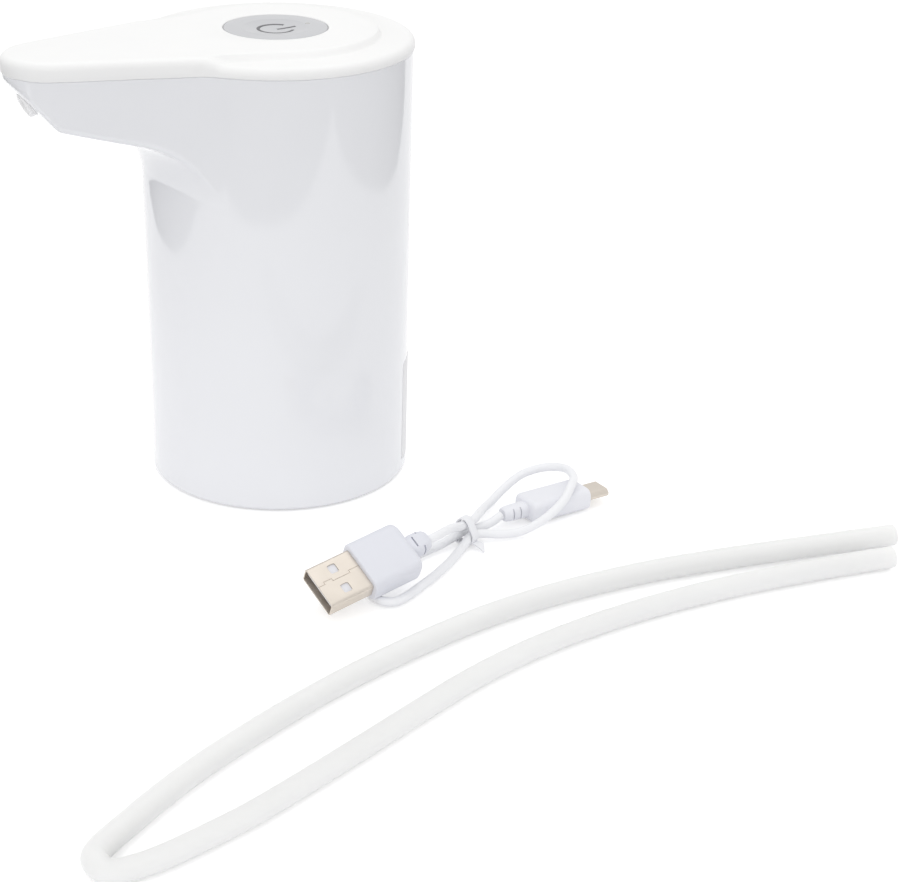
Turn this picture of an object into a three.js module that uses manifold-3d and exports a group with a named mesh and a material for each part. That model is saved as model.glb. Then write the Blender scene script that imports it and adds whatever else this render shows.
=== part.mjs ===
// Electric pump for a bottled-water jug, with its loose drinking-water hose and its charging cable.
// Millimetres, +Z up, spout towards -X. The origin is under the middle of the pump, on the table.
import * as THREE from "three";
import { mergeVertices } from "three/addons/utils/BufferGeometryUtils.js";
import Module from "manifold-3d";

const wasm = await Module();
wasm.setup();

const { degToRad } = THREE.MathUtils;

// Clearances and fineness of the curves
const fit = 0.3;
const overrun = 4;
const weldDistance = 0.0005;
const barrelSides = 36;
const roundSides = 20;
const smallSides = 8;
const screwSides = 8;

// Barrel
const footRadius = 35;
const barrelFlare = 0.7;
const seamHeight = 116.8;
const wall = 2.2;
const footRounding = 1;

// Spout seen from above: a nose circle and a shoulder circle, joined by straight sides
const noseCentre = 60.4;
const noseRadius = 12.4;
const shoulderInset = 6;
const blendRadius = 16;

// Spout seen from the side
const filletDrop = 32.7;
const filletRadius = 16;
const undersideSlope = degToRad(15.2);
const noseLipDrop = 1.2;
const chamferSlope = degToRad(51);
const chamferSoftness = 0.4;
const edgeRounding = 1.8;
const innerRounding = 0.4;

// Top cover
const seamGap = 0.3;
const coverOverhang = 0.5;
const coverRounding = 2;
const ledgeRise = 3.1;
const plateauRise = 4.8;
const plateauInset = 9.5;
const stepWidth = 1.2;
const stepShares = [
  [0.4, 0.25],
  [0.7, 0.8],
];
const ringSpacing = 0.01;
const plateauThickness = 2.2;
const ledgeThickness = 2;
const lipThickness = 1.6;
const lipDepth = 3;

// Button
const buttonRadius = 13.45;
const buttonRecess = 0.1;
const buttonTravel = 0.6;
const buttonThickness = 2.4;
const buttonFlange = 1.1;
const flangeThickness = 0.9;
const dishRadius = 8.6;
const dishDepth = 0.6;
const bowlShares = [0.35, 0.65, 0.88];
const lensRadius = 0.7;
const lensOffset = 9.1;

// Neck socket in the base
const socketInset = 4.3;
const socketDepth = 24;
const socketWall = 1.6;
const socketLeadIn = 0.8;
const baseThickness = 2.4;
const baseFlange = 1.6;
const footClearance = 0.4;
const gasketWidth = 5.7;
const gasketThickness = 2;
const gasketGroove = 0.5;

// Hose nipple and the water line
const nippleRadius = 2.2;
const nippleBore = 1.3;
const nippleLength = 15;
const barbHeight = 0.35;
const barbPitch = 3;
const spigotLength = 5.5;
const tubeRadius = 3;
const tubeFit = 0.35;

// Pump head, one valve chamber above the other, on the motor's axis
const pumpRadius = 13.5;
const pumpRise = 7.8;
const headHeight = 7;
const valvePlateThickness = 2.6;
const diaphragmFlange = 1.2;
const cupOrbit = 7.2;
const cupRadius = 3.4;
const cupHeight = 3.4;
const cupWaistShare = 0.5;
const cupNeckShare = 0.7;
const cupRoomShare = 0.6;
const knobRadius = 1.1;
const knobHeight = 0.9;
const caseWall = 1.2;
const outletChamber = 5.6;
const inletInner = 7.2;
const inletOuter = 11.6;
const chamberDepth = 4.6;

// Wobble drive
const wobbleTilt = degToRad(6);
const plateThickness = 1.4;
const plateHub = 3.4;
const plateReach = 9.2;
const plateArm = 4.4;
const pinRadius = 0.8;
const wheelRadius = 6.2;
const wheelThickness = 3;
const shaftRadius = 1;
const runningFit = 0.15;

// Motor
const motorRadius = 12.2;
const motorRoomShare = 0.643;
const motorWall = 1;
const bossRadius = 3.1;
const bossHeight = 1.5;
const magnetThickness = 2.2;
const magnetSpan = degToRad(130);
const magnetLengthShare = 0.68;
const magnetRise = 3;
const airGap = 1.1;
const coreInset = 0.5;
const coreSlots = 3;
const slotWidth = 2.2;
const slotDepth = 3.6;
const commutatorRadius = 2.6;
const commutatorLength = 3.5;
const bellHeight = 3;
const terminalHeight = 3;

// Battery
const batteryRadius = 9.15;
const batteryInset = 2.65;
const motorGapShare = 0.42716;
const batteryRim = 0.6;
const poleRadius = 2.9;
const poleHeight = 0.8;
const tabThickness = 0.3;
const tabWidth = 5;
const tabRise = 9;
const leadRadius = 0.6;
const leadStep = 0.5;
const stripShares = [0.45, 0.85];

// Inner frame
const deckThickness = 2;
const cradleWall = 1.4;
const cradleFloor = 1.6;
const cradleOpening = degToRad(100);
const clipLength = 12;
const clipRise = 12;
const clipWall = 1.5;
const clipOpening = degToRad(120);
const seatWall = 1.6;
const seatSlot = 9;
const bossOuter = 2.6;
const screwRadius = 1;
const screwHead = 2;
const screwHeadHeight = 1.2;
const screwLength = 7;
const crownShare = 0.7;
const headEdgeShare = 0.4;
const postRadius = 2.2;
const postStandoff = 1.5;
const postTurn = degToRad(60);
const frontScrewGap = 4.5;
const rearScrewBack = 8;
const rearScrewAcross = 15;
const shelfPost = 1.8;
const shelfPostAcross = 5;
const shelfPostInset = 5;
const shelfThickness = 1.6;
const shelfPostHeight = 10.1;

// Circuit board and what is soldered to it
const boardTop = 5.2;
const boardThickness = 1.6;
const boardMargin = 2.4;
const boardCutShare = 0.625;
const switchSize = 6;
const switchHeight = 3.5;
const plungerRadius = 1.7;
const plungerProud = 1.3;
const plungerDepth = 0.6;
const ledWidth = 1.6;
const ledHeight = 0.8;
const chipSize = 5;
const chipHeight = 1.5;
const chipAcross = 15;
const coilBack = 13;
const coilRadius = 3;
const coilHeight = 3;

// Charging port
const portWidth = 7.5;
const portHeight = 2.8;
const portDepth = 5.6;
const portSheet = 0.35;
const portSetback = 1.8;
const portClearance = 0.4;
const pocketWidth = 12;
const pocketHeight = 7;
const pocketDepth = 1;
const tongueThickness = 0.7;
const tongueWidth = 4.6;

// Nozzle
const nozzleRadius = 3.5;
const nozzleBore = 2;
const nozzleTilt = degToRad(27);
const nozzleSetback = 4.4;
const nozzleProud = 1.7;
const nozzleLength = 6.5;
const nozzleBarb = 4.5;
const nozzleTaperShare = 0.75;

// Loose hose
const hoseRadius = 2.8;
const hoseBore = 2;

// Charging cable, its two plugs and its tie
const cableRadius = 1.15;
const plugAPlace = new THREE.Vector2(-12.8, -87.4);
const plugATurn = degToRad(7);
const plugARoll = degToRad(30);
const plugAPitch = degToRad(9);
const crossingBack = 15.6;
const plugAWidth = 12;
const plugAHeight = 4.5;
const plugALength = 12;
const plugASheet = 0.35;
const plugAHole = 2.4;
const plugAHoleAcross = 2.75;
const plugAHoleBack = 6;
const gripAWidth = 14.6;
const gripAHeight = 7.2;
const gripALength = 14.6;
const gripRounding = 2;
const reliefALength = 6;
const reliefAWidth = 5.6;
const reliefAHeight = 4.4;
const reliefNotch = 0.9;
const notchShares = [0.25, 0.6];
const microPlace = new THREE.Vector2(84.4, -63.2);
const microTurn = degToRad(4.1);
const microWidth = 6.9;
const microHeight = 1.85;
const microLength = 6.7;
const microSheet = 0.3;
const gripMicroWidth = 10;
const gripMicroHeight = 6;
const gripMicroLength = 18.5;
const reliefMicroLength = 7;
const reliefMicroWidth = 4.4;
const reliefMicroHeight = 3.8;
const tiePlace = new THREE.Vector3(38.4, -69.6, 0);
const tieTurn = degToRad(25);
const tieWidth = 2;
const tieThickness = 0.5;
const tieTail = 5;

// Sizes and places that follow
const filletFoot = seamHeight - filletDrop;
const noseLip = seamHeight - noseLipDrop;
const barrelAt = (height) => footRadius + (barrelFlare * height) / seamHeight;
const seamRadius = barrelAt(seamHeight);
const boreRadius = footRadius - wall;
const shoulderRadius = footRadius - shoulderInset;
const plateauRadius = seamRadius - plateauInset;
const noseReach = noseCentre + noseRadius;
const socketRadius = boreRadius - socketInset;
const housingTop = seamHeight - seamGap / 2;
const coverFoot = seamHeight + seamGap / 2;
const coverTop = seamHeight + plateauRise;
const ledgeTop = seamHeight + ledgeRise;
const boardFoot = seamHeight - boardTop - boardThickness;
const boardFace = boardFoot + boardThickness;
const boardRadius = boreRadius - boardMargin;

const baseTop = socketDepth + baseThickness;
const deckFoot = baseTop + fit;
const deckTop = deckFoot + deckThickness;
const cradleTop = deckTop + cradleFloor;
const shelfTop = boardFoot - fit - shelfPostHeight;
const shelfFoot = shelfTop - shelfThickness;
const batteryFoot = cradleTop + tabThickness + 2 * fit;
const batteryTop = shelfFoot - tabThickness - 2 * fit;
const batteryOffset = boreRadius - batteryInset - batteryRadius;
const motorSlack = boreRadius + batteryOffset - batteryRadius - 2 * motorRadius;
const pumpOffset = motorSlack * motorGapShare + motorRadius - batteryOffset + batteryRadius;

const pumpFoot = deckTop + pumpRise;
const plateFoot = pumpFoot + headHeight + fit;
const diaphragmFoot = plateFoot + valvePlateThickness + fit;
const caseFoot = diaphragmFoot + diaphragmFlange + fit;
const knobTop = diaphragmFoot + diaphragmFlange + cupHeight + knobHeight;
const plateSwing = plateThickness / 2 + plateReach * Math.sin(wobbleTilt) + 2 * fit;
const wobbleCentre = diaphragmFoot + diaphragmFlange;
const plateHeight = knobTop + plateSwing;
const wheelFoot = plateHeight + plateSwing;
const wheelTop = wheelFoot + wheelThickness;
const caseTop = wheelTop + bossHeight + 2 * fit;
const motorFoot = caseTop + fit;
const motorLength = (boardFoot - motorFoot) * motorRoomShare;
const motorTop = motorFoot + motorLength;
const magnetLength = motorLength * magnetLengthShare;
const coreRadius = motorRadius - motorWall - fit - magnetThickness - airGap;
const postOrbit = motorRadius + fit + clipWall + postStandoff;
const postBack = postOrbit * Math.cos(postTurn) - pumpOffset;
const postAcross = postOrbit * Math.sin(postTurn);

const buttonTop = coverTop - buttonRecess;
const buttonFoot = buttonTop - buttonThickness;
const flangeTop = coverTop - plateauThickness - fit;
const plungerTop = boardFace + switchHeight + plungerProud;
const tubeBore = nippleRadius + tubeFit;
const nozzleFace = new THREE.Vector3(
  nozzleSetback - noseReach,
  0,
  noseLip - nozzleSetback * Math.tan(chamferSlope) - nozzleProud,
);

// The group's origin is midway between the spout's end and the barrel's back.
const frameShift = (noseReach - seamRadius) / 2;

// Materials
const plastic = (color, roughness) => new THREE.MeshStandardMaterial({ color, roughness });
const metal = (color, roughness) => new THREE.MeshStandardMaterial({ color, roughness, metalness: 1 });
const whiteGloss = plastic("#e6e6e8", 0.22);
const whiteSatin = plastic("#f6f6f5", 0.45);
const buttonGrey = plastic("#cbccd0", 0.4);
const clearAmber = plastic("#9aa0a6", 0.2);
const frameWhite = plastic("#dcdcdc", 0.6);
const silicone = plastic("#ecece8", 0.5);
const blackRubber = plastic("#2b2b2c", 0.7);
const boardGreen = plastic("#1f5a3a", 0.5);
const blackPlastic = plastic("#1d1d1f", 0.5);
const bluePlastic = plastic("#3c7fc0", 0.4);
const redPlastic = plastic("#b5302a", 0.5);
const greyPump = plastic("#d2d4d6", 0.5);
const steel = metal("#b9bcc0", 0.3);
const darkSteel = metal("#6c6f74", 0.4);
const ferrite = plastic("#3a3a3e", 0.8);
const copper = metal("#b8703a", 0.4);
const gold = metal("#d9cdb6", 0.3);
const cableWhite = plastic("#f0f1f4", 0.5);

// The mesh welded and turned to face outwards, with collapsed triangles left out
function tidy(geometry) {
  const bare = geometry.index ? geometry.toNonIndexed() : geometry.clone();
  for (const name of Object.keys(bare.attributes)) {
    if (name !== "position") bare.deleteAttribute(name);
  }
  const welded = mergeVertices(bare, weldDistance);
  const corners = welded.index.array;
  const point = (i) => new THREE.Vector3().fromBufferAttribute(welded.attributes.position, i);
  const kept = [];
  let volume = 0;
  for (let i = 0; i < corners.length; i += 3) {
    const [a, b, c] = corners.slice(i, i + 3);
    if (a === b || b === c || c === a) continue;
    kept.push([a, b, c]);
    volume += point(a).dot(point(b).cross(point(c)));
  }
  welded.setIndex(kept.flatMap(([a, b, c]) => (volume < 0 ? [a, c, b] : [a, b, c])));
  return welded;
}

function solidOf(geometry) {
  const closed = tidy(geometry);
  const vertProperties = Float32Array.from(closed.attributes.position.array);
  const triVerts = Uint32Array.from(closed.index.array);
  return new wasm.Manifold(new wasm.Mesh({ numProp: 3, vertProperties, triVerts }));
}

function geometryOf(solid) {
  const mesh = solid.getMesh();
  const geometry = new THREE.BufferGeometry();
  geometry.setAttribute("position", new THREE.BufferAttribute(mesh.vertProperties, 3));
  geometry.setIndex(new THREE.BufferAttribute(mesh.triVerts, 1));
  geometry.computeVertexNormals();
  return geometry;
}

// The first body with the joined ones added, then the cut ones taken away
function carve(body, { joined = [], cuts = [] }) {
  let solid = solidOf(body);
  for (const extra of joined) solid = solid.add(solidOf(extra));
  for (const tool of cuts) solid = solid.subtract(solidOf(tool));
  return geometryOf(solid);
}

// A profile of [radius, height] points turned about +Z
function revolve(profile, sides) {
  const points = profile.map(([radius, height]) => new THREE.Vector2(radius, height));
  return new THREE.LatheGeometry(points, sides).rotateX(Math.PI / 2);
}

function rod(radius, foot, top, sides = smallSides) {
  return revolve([[0, foot], [radius, foot], [radius, top], [0, top]], sides);
}

function sleeve(outer, inner, foot, top, sides = roundSides) {
  return revolve([[inner, foot], [outer, foot], [outer, top], [inner, top], [inner, foot]], sides);
}

function prism(shape, foot, top, curveSegments = 4) {
  const geometry = new THREE.ExtrudeGeometry(shape, { depth: top - foot, bevelEnabled: false, curveSegments });
  return geometry.translate(0, 0, foot);
}

function block(width, depth, foot, top) {
  return new THREE.BoxGeometry(width, depth, top - foot).translate(0, 0, (foot + top) / 2);
}

function roundedRectangle(width, height, radius) {
  const [x, y] = [width / 2, height / 2];
  const shape = new THREE.Shape();
  shape.absarc(x - radius, y - radius, radius, 0, Math.PI / 2);
  shape.absarc(radius - x, y - radius, radius, Math.PI / 2, Math.PI);
  shape.absarc(radius - x, radius - y, radius, Math.PI, 1.5 * Math.PI);
  shape.absarc(x - radius, radius - y, radius, 1.5 * Math.PI, 2 * Math.PI);
  shape.closePath();
  return shape;
}

// A ring sector between two radii, from one angle to another
function sector(outer, inner, start, end) {
  const shape = new THREE.Shape();
  shape.absarc(0, 0, outer, start, end, false);
  shape.absarc(0, 0, inner, end, start, true);
  shape.closePath();
  return shape;
}

// A tube along a smooth route, with rings at its points and between them; a bore makes it hollow
function sweep(route, radius, sides, ringsPerPoint, bore = 0) {
  const curve = new THREE.CatmullRomCurve3(route);
  const count = (route.length - 1) * ringsPerPoint;
  let side = new THREE.Vector3(0, 0, 1);
  const frames = Array.from({ length: count + 1 }, (_, i) => {
    const tangent = curve.getTangent(i / count);
    side = side.clone().projectOnPlane(tangent).normalize();
    return { centre: curve.getPoint(i / count), side, across: tangent.clone().cross(side) };
  });
  const ring = ({ centre, side: across, across: along }, reach) =>
    Array.from({ length: sides }, (_, k) => {
      const angle = (2 * Math.PI * k) / sides;
      const point = centre.clone().addScaledVector(across, reach * Math.cos(angle));
      return point.addScaledVector(along, reach * Math.sin(angle));
    });
  const outer = frames.map((frame) => ring(frame, radius));
  const inner = frames.map((frame) => ring(frame, bore)).reverse();
  return hollowSkin(bore > 0 ? [...outer, ...inner] : [...outer, inner[0], inner[count]]);
}

// Length of a cord and the least clear distance between two of its runs
function cordReport(name, route, radius) {
  const points = new THREE.CatmullRomCurve3(route).getSpacedPoints(route.length * 12);
  const step = points[0].distanceTo(points[1]);
  const apart = Math.ceil((Math.PI * 2 * radius) / step);
  let gap = Infinity;
  points.forEach((p, i) => {
    for (let j = i + apart; j < points.length; j++) gap = Math.min(gap, p.distanceTo(points[j]) - 2 * radius);
  });
  const length = step * (points.length - 1);
  console.log(`${name}: length ${length.toFixed(1)} mm, least gap to itself ${gap.toFixed(2)} mm`);
}

// A closed skin through rings of equal length, where the last ring meets the first
function hollowSkin(rings) {
  const count = rings[0].length;
  const index = [];
  rings.forEach((ring, level) => {
    const next = ((level + 1) % rings.length) * count;
    const here = level * count;
    for (let i = 0; i < count; i++) {
      const j = (i + 1) % count;
      index.push(here + i, here + j, next + j, here + i, next + j, next + i);
    }
  });
  const geometry = new THREE.BufferGeometry().setFromPoints(rings.flat());
  return geometry.setIndex(index);
}

// Outline of barrel and spout from above, set in from the outer wall, starting at the nose
const noseSteps = 4;
const sideSteps = 3;
const blendSteps = 4;
const barrelSteps = 12;

function planOutline(inset, barrelRadius) {
  const barrel = barrelRadius - inset;
  const shoulder = shoulderRadius - inset;
  const nose = noseRadius - inset;
  const blend = blendRadius + inset;
  const lean = Math.asin((shoulder - nose) / noseCentre);
  const normal = new THREE.Vector2(-Math.sin(lean), Math.cos(lean));
  const along = new THREE.Vector2(-Math.cos(lean), -Math.sin(lean));
  const onSide = (distance) => normal.clone().multiplyScalar(shoulder).addScaledVector(along, distance);
  const noseEnd = noseCentre * Math.cos(lean);
  const blendEnd = Math.sqrt((barrel + blend) ** 2 - (shoulder + blend) ** 2);
  const blendCentre = normal.clone().multiplyScalar(shoulder + blend).addScaledVector(along, blendEnd);
  const arc = (centre, radius, angle) =>
    new THREE.Vector2(centre.x + radius * Math.cos(angle), centre.y + radius * Math.sin(angle));
  const noseMiddle = new THREE.Vector2(-noseCentre, 0);
  const origin = new THREE.Vector2();
  const half = [];
  for (let i = 0; i <= noseSteps; i++) {
    half.push(arc(noseMiddle, nose, Math.PI - ((Math.PI / 2 - lean) * i) / noseSteps));
  }
  for (let i = 1; i <= sideSteps; i++) {
    half.push(onSide(THREE.MathUtils.lerp(noseEnd, blendEnd, i / sideSteps)));
  }
  const blendFrom = Math.atan2(-normal.y, -normal.x);
  const blendTo = Math.atan2(-blendCentre.y, -blendCentre.x);
  for (let i = 1; i <= blendSteps; i++) {
    half.push(arc(blendCentre, blend, THREE.MathUtils.lerp(blendFrom, blendTo, i / blendSteps)));
  }
  const barrelFrom = blendCentre.angle();
  for (let i = 1; i <= barrelSteps; i++) {
    half.push(arc(origin, barrel, barrelFrom * (1 - i / barrelSteps)));
  }
  const mirrored = half.slice(1, -1).reverse().map((p) => new THREE.Vector2(p.x, -p.y));
  return [...half, ...mirrored];
}

// How far a convex teardrop, the barrel's circle drawn out to the nose, reaches in one direction
function teardropReach(direction, shoulder, nose) {
  const lean = Math.asin((shoulder - nose) / noseCentre);
  const forward = -direction.x;
  const across = Math.abs(direction.y);
  const angle = Math.atan2(across, forward);
  const noseAngle = Math.atan2(nose * Math.cos(lean), noseCentre + nose * Math.sin(lean));
  if (angle >= Math.PI / 2 - lean) return shoulder;
  if (angle > noseAngle) return shoulder / (forward * Math.sin(lean) + across * Math.cos(lean));
  return noseCentre * forward + Math.sqrt(nose ** 2 - (noseCentre * across) ** 2);
}

const vectors = (route) => route.map(([x, y, z]) => new THREE.Vector3(x, y, z));
const atHeight = (points, height) => points.map((p) => new THREE.Vector3(p.x, p.y, height));
const outward = (points, reach) =>
  points.map((p) => {
    const unit = p.clone().normalize();
    return unit.clone().multiplyScalar(reach(unit));
  });

// Height of the spout's underside at a distance from the barrel's axis: a fillet that leaves the
// barrel upright, a gentle slope, and the chamfer under the nose
function undersideHeight(reach, forwardShare, inset) {
  const arcRadius = filletRadius + inset;
  const arcCentre = barrelAt(filletFoot) + filletRadius;
  const arcEnd = arcCentre - arcRadius * Math.sin(undersideSlope);
  const rise = Math.sqrt(Math.max(0, arcRadius ** 2 - (arcCentre - Math.min(reach, arcEnd)) ** 2));
  const slope = filletFoot + rise + Math.max(0, reach - arcEnd) * Math.tan(undersideSlope);
  const chamferFoot = noseLip + inset / Math.cos(chamferSlope);
  const chamfer = chamferFoot - (noseReach - reach * forwardShare) * Math.tan(chamferSlope);
  return (slope + chamfer + Math.hypot(slope - chamfer, chamferSoftness)) / 2;
}

// Distance from the axis at which the chamfer begins, in the middle of the spout
const kneeReach = (() => {
  const arcEnd = barrelAt(filletFoot) + filletRadius * (1 - Math.sin(undersideSlope));
  const arcTop = filletFoot + filletRadius * Math.cos(undersideSlope);
  const gain = Math.tan(chamferSlope) - Math.tan(undersideSlope);
  const gap = arcTop - arcEnd * Math.tan(undersideSlope) - noseLip + noseReach * Math.tan(chamferSlope);
  return gap / gain;
})();
const kneeShare = 0.75;
const roundShare = 0.45;
const uprightShare = 0.75;
const filletSteps = 6;
const chamferSteps = 3;
const cornerSteps = 3;

// Points up one line of the spout, from the barrel out along the underside and round its edge
function spoutLine(corner, inset, rounding) {
  const reach = corner.length();
  const unit = corner.clone().normalize();
  const start = barrelAt(filletFoot) - inset;
  const spread = Math.max(0, reach - start);
  const height = (distance) => Math.min(undersideHeight(distance, -unit.x, inset), seamHeight - seamGap);
  const upright = housingTop - height(reach);
  const round = Math.min(rounding, spread * roundShare, upright * uprightShare);
  const knee = Math.min(kneeReach, start + spread * kneeShare);
  const end = reach - round;
  const place = (distance, z) => new THREE.Vector3(unit.x * distance, unit.y * distance, z);
  const line = [];
  for (let i = 0; i <= filletSteps; i++) {
    const distance = start + (knee - start) * (i / filletSteps) ** 2;
    line.push(place(distance, height(distance)));
  }
  for (let i = 1; i <= chamferSteps; i++) {
    const distance = THREE.MathUtils.lerp(knee, end, i / chamferSteps);
    line.push(place(distance, height(distance)));
  }
  const bend = new THREE.QuadraticBezierCurve3(
    place(end, height(end)),
    place(reach, height(reach)),
    place(reach, height(reach) + round),
  );
  for (let i = 1; i <= cornerSteps; i++) line.push(bend.getPoint(i / cornerSteps));
  return line;
}

// The rings of one face of the housing, outer or inner, from foot to seam
function housingFace(inset, rounding, feet) {
  const corners = planOutline(inset, barrelAt(filletFoot));
  const lines = corners.map((corner) => spoutLine(corner, inset, rounding));
  const rings = feet.map(([radius, height]) => atHeight(outward(corners, () => radius), height));
  lines[0].forEach((_, level) => rings.push(lines.map((line) => line[level])));
  rings.push(atHeight(planOutline(inset, barrelAt(housingTop)), housingTop));
  return rings;
}

const portCentre = boardFoot - fit - portHeight / 2;
const portFace = barrelAt(portCentre) - portSetback;

// The prism of a shape drawn across the charging port, lying along +X
function alongX(shape, start, end) {
  return prism(shape, start, end).rotateZ(Math.PI / 2).rotateY(Math.PI / 2).translate(0, 0, portCentre);
}

// A body made upright about +Z, laid along the nozzle's axis with its top at the nozzle's face
function alongNozzle(geometry) {
  return geometry.rotateY(-Math.PI / 2 - nozzleTilt).translate(nozzleFace.x, nozzleFace.y, nozzleFace.z);
}

function mainHousing() {
  const turned = footRounding * (1 - Math.SQRT1_2);
  const outer = housingFace(0, edgeRounding, [
    [footRadius - footRounding, 0],
    [footRadius - turned, turned],
    [footRadius, footRounding],
  ]);
  const inner = housingFace(wall, innerRounding, [[boreRadius, 0]]);
  const shell = hollowSkin([...outer, ...inner.reverse()]);
  const nozzleHole = alongNozzle(rod(nozzleRadius + fit, -nozzleLength, overrun, roundSides));
  const hole = roundedRectangle(portWidth + 2 * portClearance, portHeight + 2 * portClearance, portHeight / 3);
  const pocket = roundedRectangle(pocketWidth, pocketHeight, pocketHeight / 3);
  const outside = barrelAt(portCentre);
  const portHole = alongX(hole, boreRadius - overrun, outside + overrun);
  const portPocket = alongX(pocket, outside - pocketDepth, outside + overrun);
  return carve(shell, { cuts: [nozzleHole, portHole, portPocket] });
}

// Lower height of the ledge where the cover is widest, lifted to the plateau where the ledge runs out
const ledgeFade = 2.5;

function topCover() {
  const outline = (inset) => planOutline(inset, seamRadius);
  const rimInset = coverRounding - coverOverhang;
  const wallRing = outline(-coverOverhang);
  const turnRing = outline(coverRounding * (1 - Math.SQRT1_2) - coverOverhang);
  const rimRing = outline(rimInset);
  const plateauNose = noseRadius - rimInset;
  const footRing = rimRing.map((p) => {
    const reach = teardropReach(p.clone().normalize(), plateauRadius + stepWidth, plateauNose);
    return p.clone().setLength(Math.min(reach, p.length() - ringSpacing));
  });
  const plateauRing = outward(rimRing, (unit) => teardropReach(unit, plateauRadius, plateauNose - 4 * ringSpacing));
  const ledge = rimRing.map((p, i) => {
    const width = p.distanceTo(footRing[i]);
    return THREE.MathUtils.lerp(coverTop, ledgeTop, THREE.MathUtils.smoothstep(width, 0, ledgeFade));
  });
  const raise = (ring, height) => ring.map((p, i) => new THREE.Vector3(p.x, p.y, height(ledge[i])));
  const middle = (a, b, share) => a.map((p, i) => p.clone().lerp(b[i], share));
  const turned = coverRounding * (1 - Math.SQRT1_2);
  const hole = outward(rimRing, () => buttonRadius + fit);
  const under = coverTop - plateauThickness;
  const lipOuter = wall + fit;
  const lipInner = lipOuter + lipThickness;
  const hollow = outward(rimRing, (unit) =>
    teardropReach(unit, plateauRadius - lipThickness, noseRadius - lipInner - fit),
  );
  const lipRing = (inset) =>
    outline(inset).map((p) => {
      const floor = undersideHeight(p.length(), -p.x / p.length(), wall) + fit + seamGap / 2;
      const foot = Math.min(coverFoot - seamGap, Math.max(coverFoot - lipDepth, floor));
      return new THREE.Vector3(p.x, p.y, foot);
    });
  return hollowSkin([
    atHeight(wallRing, coverFoot),
    raise(wallRing, (level) => level - coverRounding),
    raise(turnRing, (level) => level - turned),
    raise(rimRing, (level) => level),
    raise(footRing, (level) => level),
    ...stepShares.map(([across, up]) =>
      raise(middle(footRing, plateauRing, across), (level) => THREE.MathUtils.lerp(level, coverTop, up)),
    ),
    atHeight(plateauRing, coverTop),
    atHeight(hole, coverTop),
    atHeight(hole, under),
    atHeight(hollow, under),
    atHeight(outline(lipInner), ledgeTop - ledgeThickness),
    lipRing(lipInner),
    lipRing(lipOuter),
    atHeight(outline(lipOuter), coverFoot),
  ]);
}

function buttonCap() {
  const flangeRadius = buttonRadius + buttonFlange + fit;
  const flangeFoot = flangeTop - flangeThickness;
  const stemRadius = plungerRadius + buttonFlange;
  const bowl = bowlShares.map((share) => [dishRadius * share, buttonTop - dishDepth * (1 - share ** 4)]);
  const body = revolve(
    [
      [0, plungerTop + fit],
      [stemRadius, plungerTop + fit],
      [stemRadius, buttonFoot],
      [buttonRadius - buttonFlange, buttonFoot],
      [buttonRadius - buttonFlange, flangeFoot],
      [flangeRadius, flangeFoot],
      [flangeRadius, flangeTop],
      [buttonRadius, flangeTop],
      [buttonRadius, buttonTop - fit],
      [buttonRadius - fit, buttonTop],
      [dishRadius, buttonTop],
      ...bowl.reverse(),
      [0, buttonTop - dishDepth],
    ],
    barrelSides,
  );
  const lensHole = rod(lensRadius + runningFit, buttonFoot - overrun, coverTop + overrun);
  return carve(body, { cuts: [lensHole.translate(lensOffset, 0, 0)] });
}

function ledLens() {
  const foot = buttonFoot - fit;
  const profile = [
    [0, foot - fit],
    [lensRadius * 2, foot - fit],
    [lensRadius * 2, foot],
    [lensRadius, foot],
    [lensRadius, buttonTop],
    [0, buttonTop],
  ];
  return revolve(profile, smallSides).translate(lensOffset, 0, 0);
}

// Places of the four screws that hold the base to the frame
const screwPlaces = [
  [-pumpOffset, pumpRadius + frontScrewGap],
  [-pumpOffset, -pumpRadius - frontScrewGap],
  [batteryOffset - rearScrewBack, rearScrewAcross],
  [batteryOffset - rearScrewBack, -rearScrewAcross],
];

function basePlate() {
  const rim = boreRadius - fit;
  const outerSocket = socketRadius + socketWall;
  const body = revolve(
    [
      [0, socketDepth],
      [socketRadius, socketDepth],
      [socketRadius, footClearance + socketLeadIn],
      [socketRadius + socketLeadIn, footClearance],
      [rim, footClearance],
      [rim, footClearance + baseFlange],
      [outerSocket, footClearance + baseFlange],
      [outerSocket, socketDepth],
      [rim, socketDepth],
      [rim, baseTop],
      [0, baseTop],
    ],
    barrelSides,
  );
  const spigotTop = baseTop + spigotLength;
  const stemFoot = socketDepth - nippleLength;
  const nipple = revolve(barbed(stemFoot, spigotTop), smallSides);
  const bore = rod(nippleBore, stemFoot - overrun, spigotTop + overrun);
  const holes = screwPlaces.map(([x, y]) => rod(screwRadius + fit, 0, baseTop + overrun).translate(x, y, 0));
  const sinks = screwPlaces.map(([x, y]) =>
    rod(screwHead + fit, 0, socketDepth + screwHeadHeight).translate(x, y, 0),
  );
  return carve(body, { joined: [nipple], cuts: [bore, ...holes, ...sinks] });
}

// Outline of the hose nipple: a stem with a barb near each end
function barbed(foot, top) {
  const lower = nippleRadius - barbHeight;
  return [
    [0, foot],
    [lower, foot],
    [nippleRadius + barbHeight, foot + barbPitch],
    [nippleRadius, foot + barbPitch],
    [nippleRadius, top - barbPitch],
    [lower, top],
    [0, top],
  ];
}

function neckGasket() {
  const top = socketDepth - fit;
  const outer = socketRadius - fit;
  const gasketInner = outer - gasketWidth;
  const groove = outer - gasketWidth / 2;
  const foot = top - gasketThickness;
  return revolve(
    [
      [gasketInner, foot],
      [groove - gasketGroove, foot],
      [groove, foot + gasketGroove],
      [groove + gasketGroove, foot],
      [outer, foot],
      [outer, top],
      [gasketInner, top],
      [gasketInner, foot],
    ],
    barrelSides,
  );
}

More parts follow.
